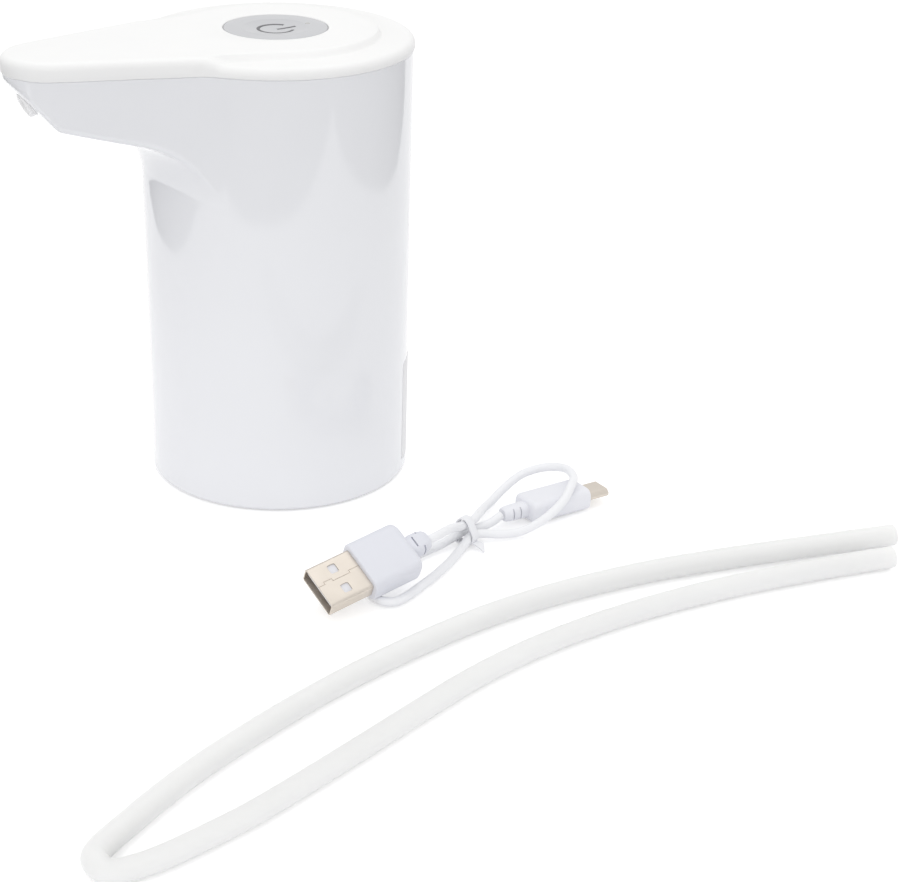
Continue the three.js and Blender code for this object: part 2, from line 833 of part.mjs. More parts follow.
// A pan-head screw that points up, with the underside of its head at the given height
function screw(seat, length) {
  return revolve(
    [
      [0, seat - screwHeadHeight],
      [screwHead * crownShare, seat - screwHeadHeight],
      [screwHead, seat - screwHeadHeight * headEdgeShare],
      [screwHead, seat],
      [screwRadius, seat],
      [screwRadius, seat + length - screwRadius],
      [0, seat + length],
    ],
    screwSides,
  );
}

function innerFrame() {
  const deckRadius = boreRadius - fit;
  const deck = rod(deckRadius, deckFoot, deckTop, barrelSides);
  const cradleInner = batteryRadius + fit;
  const cradleOuter = cradleInner + cradleWall;
  const half = cradleOpening / 2;
  const cradle = prism(sector(cradleOuter, cradleInner, half, 2 * Math.PI - half), deckFoot, shelfTop, 10);
  const floor = rod(cradleInner + cradleWall / 2, deckFoot, cradleTop, roundSides);
  const shelf = rod(cradleInner + cradleWall / 2, shelfFoot, shelfTop, roundSides);
  const atBattery = (geometry) => geometry.translate(batteryOffset, 0, 0);
  const atPump = (geometry) => geometry.translate(-pumpOffset, 0, 0);
  const clipInner = motorRadius + fit;
  const clipOuter = clipInner + clipWall;
  const clipFoot = motorFoot + clipRise;
  const clipHalf = clipOpening / 2;
  const clip = prism(
    sector(clipOuter, clipInner, clipHalf - Math.PI, Math.PI - clipHalf),
    clipFoot,
    clipFoot + clipLength,
    10,
  );
  const seatTop = pumpFoot - fit;
  const seat = sleeve(pumpRadius, pumpRadius - seatWall, deckFoot, seatTop);
  const webFrom = clipInner + clipWall / 2 - pumpOffset;
  const webTo = batteryOffset - cradleInner - cradleWall / 2;
  const web = block(webTo - webFrom, 2 * clipWall, clipFoot, clipFoot + clipLength);
  const postTop = boardFoot - fit;
  const sidePosts = [-1, 1].map((side) =>
    rod(postRadius, clipFoot, postTop).translate(postBack, side * postAcross, 0),
  );
  const shelfPosts = [-1, 1].map((side) =>
    rod(shelfPost, shelfFoot, postTop).translate(batteryOffset - shelfPostInset, side * shelfPostAcross, 0),
  );
  const bosses = screwPlaces.map(([x, y]) =>
    rod(bossOuter, deckFoot, deckTop + screwLength).translate(x, y, 0),
  );
  const screwHoles = screwPlaces.map(([x, y]) =>
    rod(screwRadius + runningFit, deckFoot - overrun, deckTop + screwLength).translate(x, y, 0),
  );
  const boardHoles = [-1, 1].map((side) =>
    rod(screwRadius + runningFit, postTop - screwLength, postTop + overrun).translate(
      postBack,
      side * postAcross,
      0,
    ),
  );
  const inletHole = rod(nippleBore + tubeRadius, deckFoot - overrun, deckTop + overrun, roundSides);
  const slot = block(2 * pumpRadius + overrun, seatSlot, deckTop, pumpFoot);
  return carve(deck, {
    joined: [
      atBattery(cradle),
      atBattery(floor),
      atBattery(shelf),
      atPump(clip),
      atPump(seat),
      web.translate((webFrom + webTo) / 2, 0, 0),
      ...sidePosts,
      ...shelfPosts,
      ...bosses,
    ],
    cuts: [inletHole, atPump(slot), ...screwHoles, ...boardHoles],
  });
}

function pumpHead() {
  const top = pumpFoot + headHeight;
  const chamberFoot = top - chamberDepth;
  const body = rod(pumpRadius, pumpFoot, top, roundSides);
  const inletFoot = baseTop + spigotLength + fit;
  const inlet = rod(nippleRadius, inletFoot, chamberFoot).translate(pumpOffset, 0, 0);
  const inletBore = rod(nippleBore, inletFoot - overrun, chamberFoot + fit).translate(pumpOffset, 0, 0);
  const outletHeight = chamberFoot + nippleBore + fit;
  const outlet = rod(nippleRadius, 0, pumpRadius + spigotLength);
  const outletBore = rod(nippleBore, 0, pumpRadius + spigotLength + overrun);
  const sideways = (geometry) => geometry.rotateX(Math.PI / 2).translate(0, 0, outletHeight);
  const outletRoom = rod(outletChamber, chamberFoot, top + overrun, roundSides);
  const inletRoom = sleeve(inletOuter, inletInner, chamberFoot, top + overrun);
  return carve(body, {
    joined: [inlet, sideways(outlet)],
    cuts: [inletBore, outletRoom, inletRoom, sideways(outletBore)],
  });
}

const cupAngles = [0, 1, 2].map((i) => (i * 2 * Math.PI) / 3 + Math.PI / 3);
const onOrbit = (geometry, angle, orbit) =>
  geometry.translate(orbit * Math.cos(angle), orbit * Math.sin(angle), 0);

function valvePlate() {
  const top = plateFoot + valvePlateThickness;
  const body = rod(pumpRadius, plateFoot, top, roundSides);
  const ports = cupAngles.flatMap((angle) => {
    const inlet = rod(nippleBore, plateFoot - overrun, top + overrun, 8);
    const outlet = rod(nippleBore, plateFoot - overrun, top + overrun, 8);
    return [onOrbit(inlet, angle, cupOrbit + cupRadius - nippleBore), onOrbit(outlet, angle, cupOrbit - cupRadius)];
  });
  return carve(body, { cuts: ports });
}

function diaphragm() {
  const flangeTopHeight = diaphragmFoot + diaphragmFlange;
  const body = rod(pumpRadius, diaphragmFoot, flangeTopHeight, roundSides);
  const cups = cupAngles.map((angle) => {
    const cup = revolve(
      [
        [0, diaphragmFoot],
        [cupRadius, diaphragmFoot],
        [cupRadius, flangeTopHeight + cupHeight * cupWaistShare],
        [cupRadius * cupNeckShare, flangeTopHeight + cupHeight],
        [knobRadius, flangeTopHeight + cupHeight],
        [knobRadius, flangeTopHeight + cupHeight + knobHeight],
        [0, flangeTopHeight + cupHeight + knobHeight],
      ],
      smallSides,
    );
    return onOrbit(cup, angle, cupOrbit);
  });
  const roomTop = flangeTopHeight + cupHeight * cupRoomShare;
  const rooms = cupAngles.map((angle) =>
    onOrbit(rod(cupRadius * cupRoomShare, diaphragmFoot - overrun, roomTop), angle, cupOrbit),
  );
  return carve(body, { joined: cups, cuts: rooms });
}

function pumpCase() {
  const inside = pumpRadius - caseWall;
  const under = caseTop - caseWall;
  return revolve(
    [
      [inside, caseFoot],
      [pumpRadius, caseFoot],
      [pumpRadius, caseTop],
      [bossRadius + fit, caseTop],
      [bossRadius + fit, under],
      [inside, under],
      [inside, caseFoot],
    ],
    roundSides,
  );
}

// Leans a body that stands about the pump's axis over to the pin's slope, about the wobble centre
function leaned(geometry) {
  return geometry.translate(0, 0, -wobbleCentre).rotateY(wobbleTilt).translate(0, 0, wobbleCentre);
}

function driveWheel() {
  const body = rod(wheelRadius, wheelFoot, wheelTop, roundSides);
  const shaftHole = rod(shaftRadius + runningFit, wheelTop - wheelThickness / 2, wheelTop + overrun);
  const pinHole = leaned(rod(pinRadius + runningFit, wheelFoot - overrun, wheelFoot + wheelThickness / 3));
  return carve(body, { cuts: [shaftHole, pinHole] });
}

function swashPin() {
  const foot = plateHeight - 2 * plateThickness;
  return leaned(rod(pinRadius, foot, wheelFoot + wheelThickness / 3 - fit));
}

function swashPlate() {
  const foot = plateHeight - plateThickness / 2;
  const top = plateHeight + plateThickness / 2;
  const hub = rod(plateHub, foot - plateThickness / 2, top, roundSides);
  const arms = cupAngles.map((angle) =>
    block(plateReach, plateArm, foot, top).translate(plateReach / 2, 0, 0).rotateZ(angle),
  );
  const holes = cupAngles.map((angle) => onOrbit(rod(knobRadius + fit, foot - overrun, top + overrun), angle, cupOrbit));
  const bore = rod(pinRadius + runningFit, foot - overrun, top + overrun);
  return leaned(carve(hub, { joined: arms, cuts: [bore, ...holes] }));
}

function motorCan() {
  const inside = motorRadius - motorWall;
  return revolve(
    [
      [shaftRadius + runningFit, motorFoot - bossHeight],
      [bossRadius, motorFoot - bossHeight],
      [bossRadius, motorFoot],
      [motorRadius - motorWall, motorFoot],
      [motorRadius, motorFoot + motorWall],
      [motorRadius, motorTop],
      [inside, motorTop],
      [inside, motorFoot + motorWall],
      [shaftRadius + runningFit, motorFoot + motorWall],
      [shaftRadius + runningFit, motorFoot - bossHeight],
    ],
    roundSides,
  );
}

const magnetFoot = motorFoot + motorWall + magnetRise;

function motorMagnet(side) {
  const outer = motorRadius - motorWall - fit;
  const middle = side * (Math.PI / 2);
  const shape = sector(outer, outer - magnetThickness, middle - magnetSpan / 2, middle + magnetSpan / 2);
  return prism(shape, magnetFoot, magnetFoot + magnetLength, 10);
}

function armature() {
  const coreFoot = magnetFoot + coreInset;
  const coreTop = magnetFoot + magnetLength - coreInset;
  const core = rod(coreRadius, coreFoot, coreTop, roundSides);
  const slots = Array.from({ length: coreSlots }, (_, i) =>
    block(slotDepth, slotWidth, coreFoot - overrun, coreTop + overrun)
      .translate(coreRadius - slotDepth / 4, 0, 0)
      .rotateZ((i * 2 * Math.PI) / coreSlots),
  );
  const commutator = rod(commutatorRadius, coreTop, coreTop + commutatorLength);
  const bore = rod(shaftRadius + runningFit, coreFoot - overrun, coreTop + commutatorLength + overrun);
  return carve(core, { joined: [commutator], cuts: [...slots, bore] });
}

function motorShaft() {
  return rod(shaftRadius, wheelTop - wheelThickness / 2 + fit, motorTop + bellHeight - motorWall);
}

function endBell() {
  const inside = motorRadius - motorWall - fit;
  const seat = motorTop + fit;
  const body = revolve(
    [
      [shaftRadius + runningFit, seat - motorWall],
      [inside, seat - motorWall],
      [inside, seat],
      [motorRadius, seat],
      [motorRadius, seat + bellHeight - motorWall],
      [motorRadius - motorWall, seat + bellHeight],
      [0, seat + bellHeight],
      [0, seat + bellHeight - motorWall / 2],
      [shaftRadius + runningFit, seat + bellHeight - motorWall / 2],
      [shaftRadius + runningFit, seat - motorWall],
    ],
    roundSides,
  );
  const terminals = [-1, 1].map((side) =>
    block(motorWall / 2, 2 * motorWall, seat, seat + bellHeight + terminalHeight).translate(
      0,
      side * coreRadius,
      0,
    ),
  );
  return carve(body, { joined: terminals });
}

function batteryCell() {
  const top = batteryTop - poleHeight;
  return revolve(
    [
      [0, batteryFoot],
      [batteryRadius - batteryRim, batteryFoot],
      [batteryRadius, batteryFoot + batteryRim],
      [batteryRadius, top - batteryRim],
      [batteryRadius - batteryRim, top],
      [poleRadius, top],
      [poleRadius, top + poleHeight],
      [0, top + poleHeight],
    ],
    roundSides,
  );
}

// A bent nickel strip: flat under or over the cell, then along its open side
function batteryTab(flatHeight, tipHeight) {
  const outer = batteryRadius + 2 * fit;
  const shape = new THREE.Shape();
  const rise = Math.sign(tipHeight - flatHeight) * tabThickness;
  shape.moveTo(-poleRadius, flatHeight);
  shape.lineTo(outer + tabThickness, flatHeight);
  shape.lineTo(outer + tabThickness, tipHeight);
  shape.lineTo(outer, tipHeight);
  shape.lineTo(outer, flatHeight + rise);
  shape.lineTo(-poleRadius, flatHeight + rise);
  shape.closePath();
  const strip = new THREE.ExtrudeGeometry(shape, { depth: tabWidth, bevelEnabled: false });
  return strip.rotateX(Math.PI / 2).translate(0, tabWidth / 2, 0);
}

const lowerTab = cradleTop + fit;
const upperTab = shelfFoot - fit;

function circuitBoard() {
  const edge = Math.acos(-boardCutShare);
  const outline = new THREE.Shape().absarc(0, 0, boardRadius, -edge, edge);
  outline.closePath();
  const body = prism(outline, boardFoot, boardFace, 12);
  const holes = [-1, 1].map((side) =>
    rod(screwRadius + fit, boardFoot - overrun, boardFace + overrun).translate(postBack, side * postAcross, 0),
  );
  return carve(body, { cuts: holes });
}

const onBoard = boardFace + fit;

function switchBody() {
  const body = block(switchSize, switchSize, onBoard, onBoard + switchHeight - fit);
  const well = rod(plungerRadius + runningFit, onBoard + fit + plungerDepth, onBoard + switchHeight + overrun);
  return carve(body, { cuts: [well] });
}

function switchPlunger() {
  return rod(plungerRadius, onBoard + fit + plungerDepth + buttonTravel + fit, plungerTop);
}

function portShell() {
  const back = portFace - portDepth;
  const body = alongX(roundedRectangle(portWidth, portHeight, portHeight / 3), back, portFace);
  const room = roundedRectangle(portWidth - 2 * portSheet, portHeight - 2 * portSheet, portHeight / 4);
  return carve(body, { cuts: [alongX(room, back + portSheet, portFace + overrun)] });
}

function portTongue() {
  const back = portFace - portDepth + portSheet + fit;
  const front = portFace - portDepth / 4;
  return block(front - back, tongueWidth, portCentre - tongueThickness / 2, portCentre + tongueThickness / 2)
    .translate((back + front) / 2, 0, 0);
}

// The straight part in the housing wall, the flange behind it and the barb for the inner tube
function spoutNozzle() {
  const inner = -nozzleLength - nozzleBarb;
  const body = revolve(
    [
      [nozzleBore * nozzleTaperShare, inner],
      [nippleRadius - barbHeight, inner],
      [nippleRadius, inner + barbPitch],
      [nippleRadius, -nozzleLength],
      [nozzleRadius, -nozzleLength],
      [nozzleRadius, 0],
      [nozzleBore, 0],
      [nozzleBore * nozzleTaperShare, inner],
    ],
    roundSides,
  );
  return alongNozzle(body);
}

// Places on the nozzle's axis, measured back from its face into the spout
const behindNozzle = (distance) =>
  new THREE.Vector3(Math.cos(nozzleTilt), 0, Math.sin(nozzleTilt)).multiplyScalar(distance).add(nozzleFace);

// Up the housing's inner wall: angle round the barrel, share of the rise, share of the lane's radius
const laneShares = [
  [degToRad(-110), 0.08, 1],
  [degToRad(-110), 0.2, 1],
  [degToRad(-113), 0.38, 0.995],
  [degToRad(-120), 0.57, 0.97],
  [degToRad(-133), 0.72, 0.95],
];
// Over to the nozzle: shares of the way along, across and up
const crossingShares = [
  [0.19, 0.34, 0.43],
  [0.42, 0.7, 0.79],
  [0.63, 0.91, 0.995],
  [0.82, 0.985, 1.05],
];
const laneMargin = 1.5;

function outletTube() {
  const outletHeight = pumpFoot + headHeight - chamberDepth + nippleBore + fit;
  const start = pumpRadius + fit;
  const tail = behindNozzle(nozzleLength + nozzleBarb + 2 * fit);
  const lane = boreRadius - tubeRadius - laneMargin;
  const rising = laneShares.map(([angle, rise, reach]) => {
    const height = THREE.MathUtils.lerp(outletHeight, tail.z, rise);
    return new THREE.Vector3(lane * reach * Math.cos(angle), lane * reach * Math.sin(angle), height);
  });
  const last = rising.at(-1);
  const crossing = crossingShares.map(([x, y, z]) => {
    const step = tail.clone().sub(last).multiply(new THREE.Vector3(x, y, z));
    return step.add(last);
  });
  const route = [
    new THREE.Vector3(-pumpOffset, -start, outletHeight),
    new THREE.Vector3(-pumpOffset, -start - spigotLength - fit, outletHeight),
    ...rising,
    ...crossing,
    tail,
    behindNozzle(nozzleLength + fit),
  ];
  return sweep(route, tubeRadius, 8, 2, tubeBore);
}

function inletTube() {
  return sleeve(tubeRadius, tubeBore, baseTop + fit, pumpFoot - fit, smallSides);
}

// Wires from the cell and from the motor to the board's underside, in steps from the strips and the
// motor's axis
const leadEnd = boardFoot - fit;
const stripFace = batteryOffset + batteryRadius + 2 * fit + tabThickness + leadRadius + runningFit;
const aboveMotor = motorTop + bellHeight;
const alongStrips = stripShares.map((share) => THREE.MathUtils.lerp(lowerTab, upperTab, share));
const fromStrip = (back, across, height, up) => [
  stripFace - back * leadStep,
  across * leadStep,
  height + up * leadStep,
];
const motorLead = (side) => [
  [-pumpOffset - 2.4 * leadStep, side * 15.2 * leadStep, aboveMotor + 2.4 * leadStep],
  [-pumpOffset - 5.2 * leadStep, side * 15.6 * leadStep, aboveMotor + 8 * leadStep],
  [-pumpOffset - 6 * leadStep, side * 17.2 * leadStep, leadEnd],
];
const leadRoutes = {
  battery_lead_red: [
    fromStrip(0, 2.8, upperTab, -12),
    fromStrip(0, 6, upperTab, -4),
    fromStrip(1.8, 13, upperTab, 6),
    fromStrip(8.6, 19, leadEnd, -6),
    fromStrip(12.6, 21, leadEnd, 0),
  ],
  battery_lead_black: [
    fromStrip(0, -2.8, lowerTab, 12),
    fromStrip(0, -6, lowerTab, 28),
    fromStrip(0.2, -8, alongStrips[0], 0),
    fromStrip(0.8, -10, alongStrips[1], 0),
    fromStrip(2.4, -14, upperTab, 6),
    fromStrip(8.6, -19, leadEnd, -6),
    fromStrip(12.6, -21, leadEnd, 0),
  ],
  motor_lead_red: motorLead(1),
  motor_lead_black: motorLead(-1),
};

// Routes of the loose hose and cable on the table, in the part's own frame
const hoseRoute = vectors([
  [137.4, -121.1, 2.8],
  [116.7, -117.1, 2.8],
  [94.3, -112.9, 2.8],
  [72, -109.6, 2.8],
  [54.8, -108.6, 2.8],
  [37.1, -108.9, 2.8],
  [19, -111.1, 2.8],
  [0.3, -115.2, 2.8],
  [-18.2, -120.5, 2.8],
  [-36.3, -126.9, 2.8],
  [-51.4, -133.2, 2.8],
  [-66.3, -140.2, 2.8],
  [-78.1, -146.8, 2.8],
  [-87.1, -152.5, 2.8],
  [-92.4, -155.9, 2.8],
  [-95.3, -158, 2.8],
  [-97, -160.3, 2.8],
  [-97.4, -162.9, 2.8],
  [-96.4, -165.3, 2.8],
  [-94.2, -166.8, 2.8],
  [-91.2, -167, 2.8],
  [-85.6, -166, 2.8],
  [-76.5, -163.9, 2.8],
  [-63.9, -160.4, 2.8],
  [-50.1, -155.3, 2.8],
  [-32.4, -148.3, 2.8],
  [-13.5, -140.6, 2.8],
  [6.2, -133.2, 2.8],
  [25.2, -128.3, 2.8],
  [43.6, -125.7, 2.8],
  [61.7, -124.7, 2.8],
  [85.3, -125.3, 2.8],
  [108.4, -127.8, 2.8],
  [128.9, -130.9, 2.8],
]);

const cableRoute = vectors([
  [19.5, -83.5, 11],
  [20.7, -83.3, 11.2],
  [24, -81.9, 11.1],
  [28.4, -78.6, 10],
  [32.8, -74.5, 7.8],
  [35.8, -71.4, 5.8],
  [38.2, -69.3, 4.9],
  [42, -67.6, 4.8],
  [44.8, -65, 4.3],
  [47.4, -61.8, 3.2],
  [50.8, -58.2, 2.2],
  [55, -55, 1.9],
  [60, -52.4, 3.2],
  [67, -50.6, 5.4],
  [73, -52.4, 6.9],
  [76.4, -57.2, 7.9],
  [75.4, -63, 8.1],
  [71.2, -68.2, 7.9],
  [66.4, -71.8, 6.2],
  [60, -73.6, 3.6],
  [53, -73.6, 1.6],
  [47, -72.2, 1.5],
  [43, -70.9, 2],
  [39.5, -70.9, 2.2],
  [36.4, -73.2, 1.6],
  [29, -79.2, 1.3],
  [21.6, -84.3, 1.3],
  [15.9, -87.6, 1.3],
  [10, -90.8, 1.3],
  [6.4, -91.9, 1.3],
  [3.9, -90.8, 1.3],
  [2.6, -88.1, 1.3],
  [2.9, -84.5, 1.3],
  [5.5, -80.8, 1.3],
  [10.5, -77.6, 1.3],
  [17, -74.8, 1.3],
  [24, -72.3, 1.3],
  [30, -70.6, 1.3],
  [34.4, -69.3, 1.7],
  [37.8, -68.3, 2.2],
  [41.4, -66.9, 1.8],
  [45, -66.6, 1.6],
  [48.4, -66.2, 2],
  [51.6, -65.5, 3],
]);

// Height of the larger plug's mouth: the edge of its grip rests on the run of cable that passes below
function mouthHeight(width, height, rounding) {
  const across = (width / 2 - rounding) * Math.sin(plugARoll);
  const upright = (height / 2 - rounding) * Math.cos(plugARoll);
  const drop = (across + upright) * Math.cos(plugAPitch) + rounding;
  return 2 * cableRadius + fit + drop - crossingBack * Math.sin(plugAPitch);
}

// A piece of a plug: made along +X from the plug's mouth, rolled, tipped up, then laid at its place
function layPlug(geometry, mouth, turn, roll = 0, pitch = 0) {
  return geometry.rotateX(roll).rotateY(-pitch).rotateZ(turn).translate(mouth.x, mouth.y, mouth.z);
}

// A rounded bar along +X
function bar(width, height, radius, start, end) {
  return prism(roundedRectangle(height, width, radius), start, end, 3).rotateY(Math.PI / 2);
}

function plugAShell() {
  const body = bar(plugAWidth, plugAHeight, plugASheet, 0, plugALength);
  const inner = plugAHeight - 2 * plugASheet;
  const room = bar(plugAWidth - 2 * plugASheet, inner, plugASheet / 2, -overrun, plugALength - plugASheet);
  const holes = [-1, 1].map((side) =>
    block(plugAHole, plugAHole, -plugAHeight, plugAHeight).translate(
      plugAHoleBack,
      side * plugAHoleAcross,
      0,
    ),
  );
  return carve(body, { cuts: [room, ...holes] });
}

function plugATongue() {
  const height = plugAHeight / 2 - plugASheet - fit;
  const width = plugAWidth - 2 * plugASheet - 2 * fit;
  return block(plugALength - 2 * fit - plugASheet, width, 0, height)
    .translate((plugALength - plugASheet) / 2, 0, 0);
}

function plugAGrip() {
  const start = plugALength + fit;
  const end = start + gripALength;
  const grip = bar(gripAWidth, gripAHeight, gripRounding, start, end);
  const relief = bar(reliefAWidth, reliefAHeight, gripRounding, end - fit, end + reliefALength - fit);
  const notches = notchShares.flatMap((share) =>
    [-1, 1].map((side) =>
      block(reliefNotch, reliefAWidth / 2, -reliefAHeight, reliefAHeight).translate(
        end + share * reliefALength,
        side * (reliefAWidth / 2),
        0,
      ),
    ),
  );
  return carve(grip, { joined: [relief], cuts: notches });
}

function microShell() {
  const body = bar(microWidth, microHeight, microSheet, -microLength, 0);
  const inner = microHeight - 2 * microSheet;
  const room = bar(microWidth - 2 * microSheet, inner, microSheet / 2, microSheet - microLength, overrun);
  return carve(body, { cuts: [room] });
}

function microGrip() {
  const start = -microLength - fit;
  const end = start - gripMicroLength;
  const grip = bar(gripMicroWidth, gripMicroHeight, gripRounding, end, start);
  const relief = bar(reliefMicroWidth, reliefMicroHeight, gripRounding / 2, end - reliefMicroLength + fit, end + fit);
  return carve(grip, { joined: [relief] });
}

// A flat wire tie round three runs of cable, with a twisted tail
function cableTie() {
  const radius = cableRadius + 2 * fit;
  const spread = cableRadius + fit;
  const centres = [
    [-spread, radius],
    [spread, radius],
    [-fit, radius + 2 * cableRadius + fit],
  ];
  const outline = (grow) => {
    const reach = radius + grow;
    const shape = new THREE.Shape();
    shape.absarc(centres[0][0], centres[0][1], reach, degToRad(150), degToRad(270));
    shape.absarc(centres[1][0], centres[1][1], reach, degToRad(270), degToRad(390));
    shape.absarc(centres[2][0], centres[2][1], reach, degToRad(30), degToRad(150));
    shape.closePath();
    return shape;
  };
  const band = prism(outline(tieThickness), -tieWidth / 2, tieWidth / 2, 5);
  const room = prism(outline(0), -tieWidth, tieWidth, 5);
  const tail = block(tieTail, tieThickness, -tieWidth / 2, tieWidth / 2).translate(
    spread + tieTail / 2 + fit,
    -tieThickness / 2,
    0,
  );
  return carve(band, { joined: [tail], cuts: [room] })
    .rotateX(Math.PI / 2)
    .rotateZ(tieTurn - Math.PI / 2)
    .translate(tiePlace.x, tiePlace.y, tieThickness);
}

// Assembly: the pump stands in its own group, the hose and cable lie on the table beside it
const jugPump = new THREE.Group();
const pump = new THREE.Group();
pump.position.x = frameShift;
jugPump.add(pump);

function place(group, name, geometry, material, x = 0) {
  const mesh = new THREE.Mesh(tidy(geometry), material);
  mesh.name = name;
  mesh.position.x = x;
  group.add(mesh);
}

place(pump, "main_housing", mainHousing(), whiteGloss);
place(pump, "top_cover", topCover(), whiteSatin);
place(pump, "button_cap", buttonCap(), buttonGrey);
place(pump, "led_lens", ledLens(), clearAmber);
place(pump, "switch_plunger", switchPlunger(), blackPlastic);
place(pump, "base_plate", basePlate(), whiteGloss);
place(pump, "neck_gasket", neckGasket(), blackRubber);
place(pump, "inner_frame", innerFrame(), frameWhite);
screwPlaces.forEach(([x, y], i) => {
  const seat = socketDepth + screwHeadHeight - runningFit;
  place(pump, `base_screw_${i + 1}`, screw(seat, screwLength).translate(x, y, 0), steel);
});
place(pump, "pump_head", pumpHead(), greyPump, -pumpOffset);
place(pump, "valve_plate", valvePlate(), greyPump, -pumpOffset);
place(pump, "diaphragm", diaphragm(), blackRubber, -pumpOffset);
place(pump, "pump_case", pumpCase(), greyPump, -pumpOffset);
place(pump, "swash_plate", swashPlate(), greyPump, -pumpOffset);
place(pump, "swash_pin", swashPin(), steel, -pumpOffset);
place(pump, "drive_wheel", driveWheel(), blackPlastic, -pumpOffset);
place(pump, "motor_shaft", motorShaft(), steel, -pumpOffset);
place(pump, "armature", armature(), copper, -pumpOffset);
place(pump, "motor_can", motorCan(), steel, -pumpOffset);
place(pump, "motor_magnet_left", motorMagnet(-1), ferrite, -pumpOffset);
place(pump, "motor_magnet_right", motorMagnet(1), ferrite, -pumpOffset);
place(pump, "motor_end_bell", endBell(), blackPlastic, -pumpOffset);
place(pump, "battery_cell", batteryCell(), bluePlastic, batteryOffset);
place(pump, "battery_tab_minus", batteryTab(lowerTab, lowerTab + tabRise), steel, batteryOffset);
place(pump, "battery_tab_plus", batteryTab(upperTab, upperTab - tabRise), steel, batteryOffset);
place(pump, "circuit_board", circuitBoard(), boardGreen);
place(pump, "switch_body", switchBody(), blackPlastic);
place(pump, "status_led", block(ledWidth, ledWidth, onBoard, onBoard + ledHeight), whiteSatin, lensOffset);
place(pump, "control_chip", block(chipSize, chipSize, onBoard, onBoard + chipHeight), blackPlastic, chipAcross);
place(pump, "charge_coil", rod(coilRadius, onBoard, onBoard + coilHeight), darkSteel, -coilBack);
place(pump, "port_shell", portShell(), steel);
place(pump, "port_tongue", portTongue(), blackPlastic);
for (const side of [-1, 1]) {
  const down = screw(0, screwLength).rotateX(Math.PI).translate(postBack, side * postAcross, onBoard);
  place(pump, side < 0 ? "board_screw_left" : "board_screw_right", down, steel);
}
place(pump, "spout_nozzle", spoutNozzle(), silicone);
place(pump, "outlet_tube", outletTube(), silicone);
place(pump, "inlet_tube", inletTube(), silicone);
for (const [name, route] of Object.entries(leadRoutes)) {
  const colour = name.endsWith("red") ? redPlastic : blackPlastic;
  place(pump, name, sweep(vectors(route), leadRadius, 6, 2), colour);
}

const plugARest = mouthHeight(gripAWidth, gripAHeight, gripRounding);
const plugAMouth = new THREE.Vector3(plugAPlace.x, plugAPlace.y, plugARest);
const microTip = new THREE.Vector3(microPlace.x, microPlace.y, gripMicroHeight / 2);
place(jugPump, "hose", sweep(hoseRoute, hoseRadius, 10, 1, hoseBore), silicone);
place(jugPump, "usb_cable", sweep(cableRoute, cableRadius, 8, 2), cableWhite);
place(jugPump, "plug_shell", layPlug(plugAShell(), plugAMouth, plugATurn, plugARoll, plugAPitch), gold);
place(jugPump, "plug_tongue", layPlug(plugATongue(), plugAMouth, plugATurn, plugARoll, plugAPitch), whiteSatin);
place(jugPump, "plug_grip", layPlug(plugAGrip(), plugAMouth, plugATurn, plugARoll, plugAPitch), cableWhite);
place(jugPump, "micro_shell", layPlug(microShell(), microTip, microTurn), gold);
place(jugPump, "micro_grip", layPlug(microGrip(), microTip, microTurn), cableWhite);
place(jugPump, "cable_tie", cableTie(), cableWhite);

cordReport("hose", hoseRoute, hoseRadius);
cordReport("usb_cable", cableRoute, cableRadius);

export default jugPump;
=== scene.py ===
"""Looks of the electric jug pump with its loose hose and charging cable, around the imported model."""
from math import asin, atan2, ceil, cos, dist, hypot, pi, radians, sin, sqrt, tan

import bpy
import numpy as np
from mathutils import Matrix, Vector


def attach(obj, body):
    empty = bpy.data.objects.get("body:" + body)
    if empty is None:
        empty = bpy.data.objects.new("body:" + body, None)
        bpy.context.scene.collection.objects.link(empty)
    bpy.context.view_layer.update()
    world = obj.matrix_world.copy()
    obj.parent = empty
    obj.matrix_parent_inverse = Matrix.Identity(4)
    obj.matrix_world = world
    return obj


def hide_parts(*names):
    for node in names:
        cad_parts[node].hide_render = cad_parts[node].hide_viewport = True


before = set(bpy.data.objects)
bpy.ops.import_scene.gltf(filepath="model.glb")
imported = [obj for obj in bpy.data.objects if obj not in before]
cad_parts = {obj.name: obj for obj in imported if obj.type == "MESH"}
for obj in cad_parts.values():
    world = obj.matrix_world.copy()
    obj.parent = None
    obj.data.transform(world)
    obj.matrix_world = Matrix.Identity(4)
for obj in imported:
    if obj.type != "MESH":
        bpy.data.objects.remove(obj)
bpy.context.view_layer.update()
scene = bpy.context.scene
MM = 0.001
TAU = 2 * pi

# Sizes of the pump, in millimetres, with the barrel's axis as origin
FIT = 0.3
FOOT_RADIUS = 35
FLARE = 0.7
SEAM_HEIGHT = 116.8
WALL = 2.2
FOOT_ROUNDING = 1
NOSE_CENTRE = 60.4
NOSE_RADIUS = 12.4
SHOULDER_RADIUS = FOOT_RADIUS - 6
BLEND_RADIUS = 16
FILLET_FOOT = SEAM_HEIGHT - 32.7
FILLET_RADIUS = 16
UNDERSIDE_SLOPE = radians(15.2)
NOSE_LIP = SEAM_HEIGHT - 1.2
CHAMFER_SLOPE = radians(51)
CHAMFER_SOFTNESS = 0.4
EDGE_ROUNDING = 1.8
SEAM_GAP = 0.3
SEAM_SLACK = 0.04
OVERHANG = 0.3
COVER_ROUNDING = 2
LEDGE_RISE = 3.1
PLATEAU_RISE = 4.8
PLATEAU_INSET = 9.5
STEP_WIDTH = 1.2
PLATEAU_THICKNESS = 2.2
LIP_THICKNESS = 1.6
LIP_DEPTH = 3
LEDGE_THICKNESS = 2
LEDGE_FADE = 2.5
BUTTON_RADIUS = 13.45
BUTTON_RECESS = 0.1
BUTTON_THICKNESS = 2.4
BUTTON_FLANGE = 1.1
FLANGE_THICKNESS = 0.9
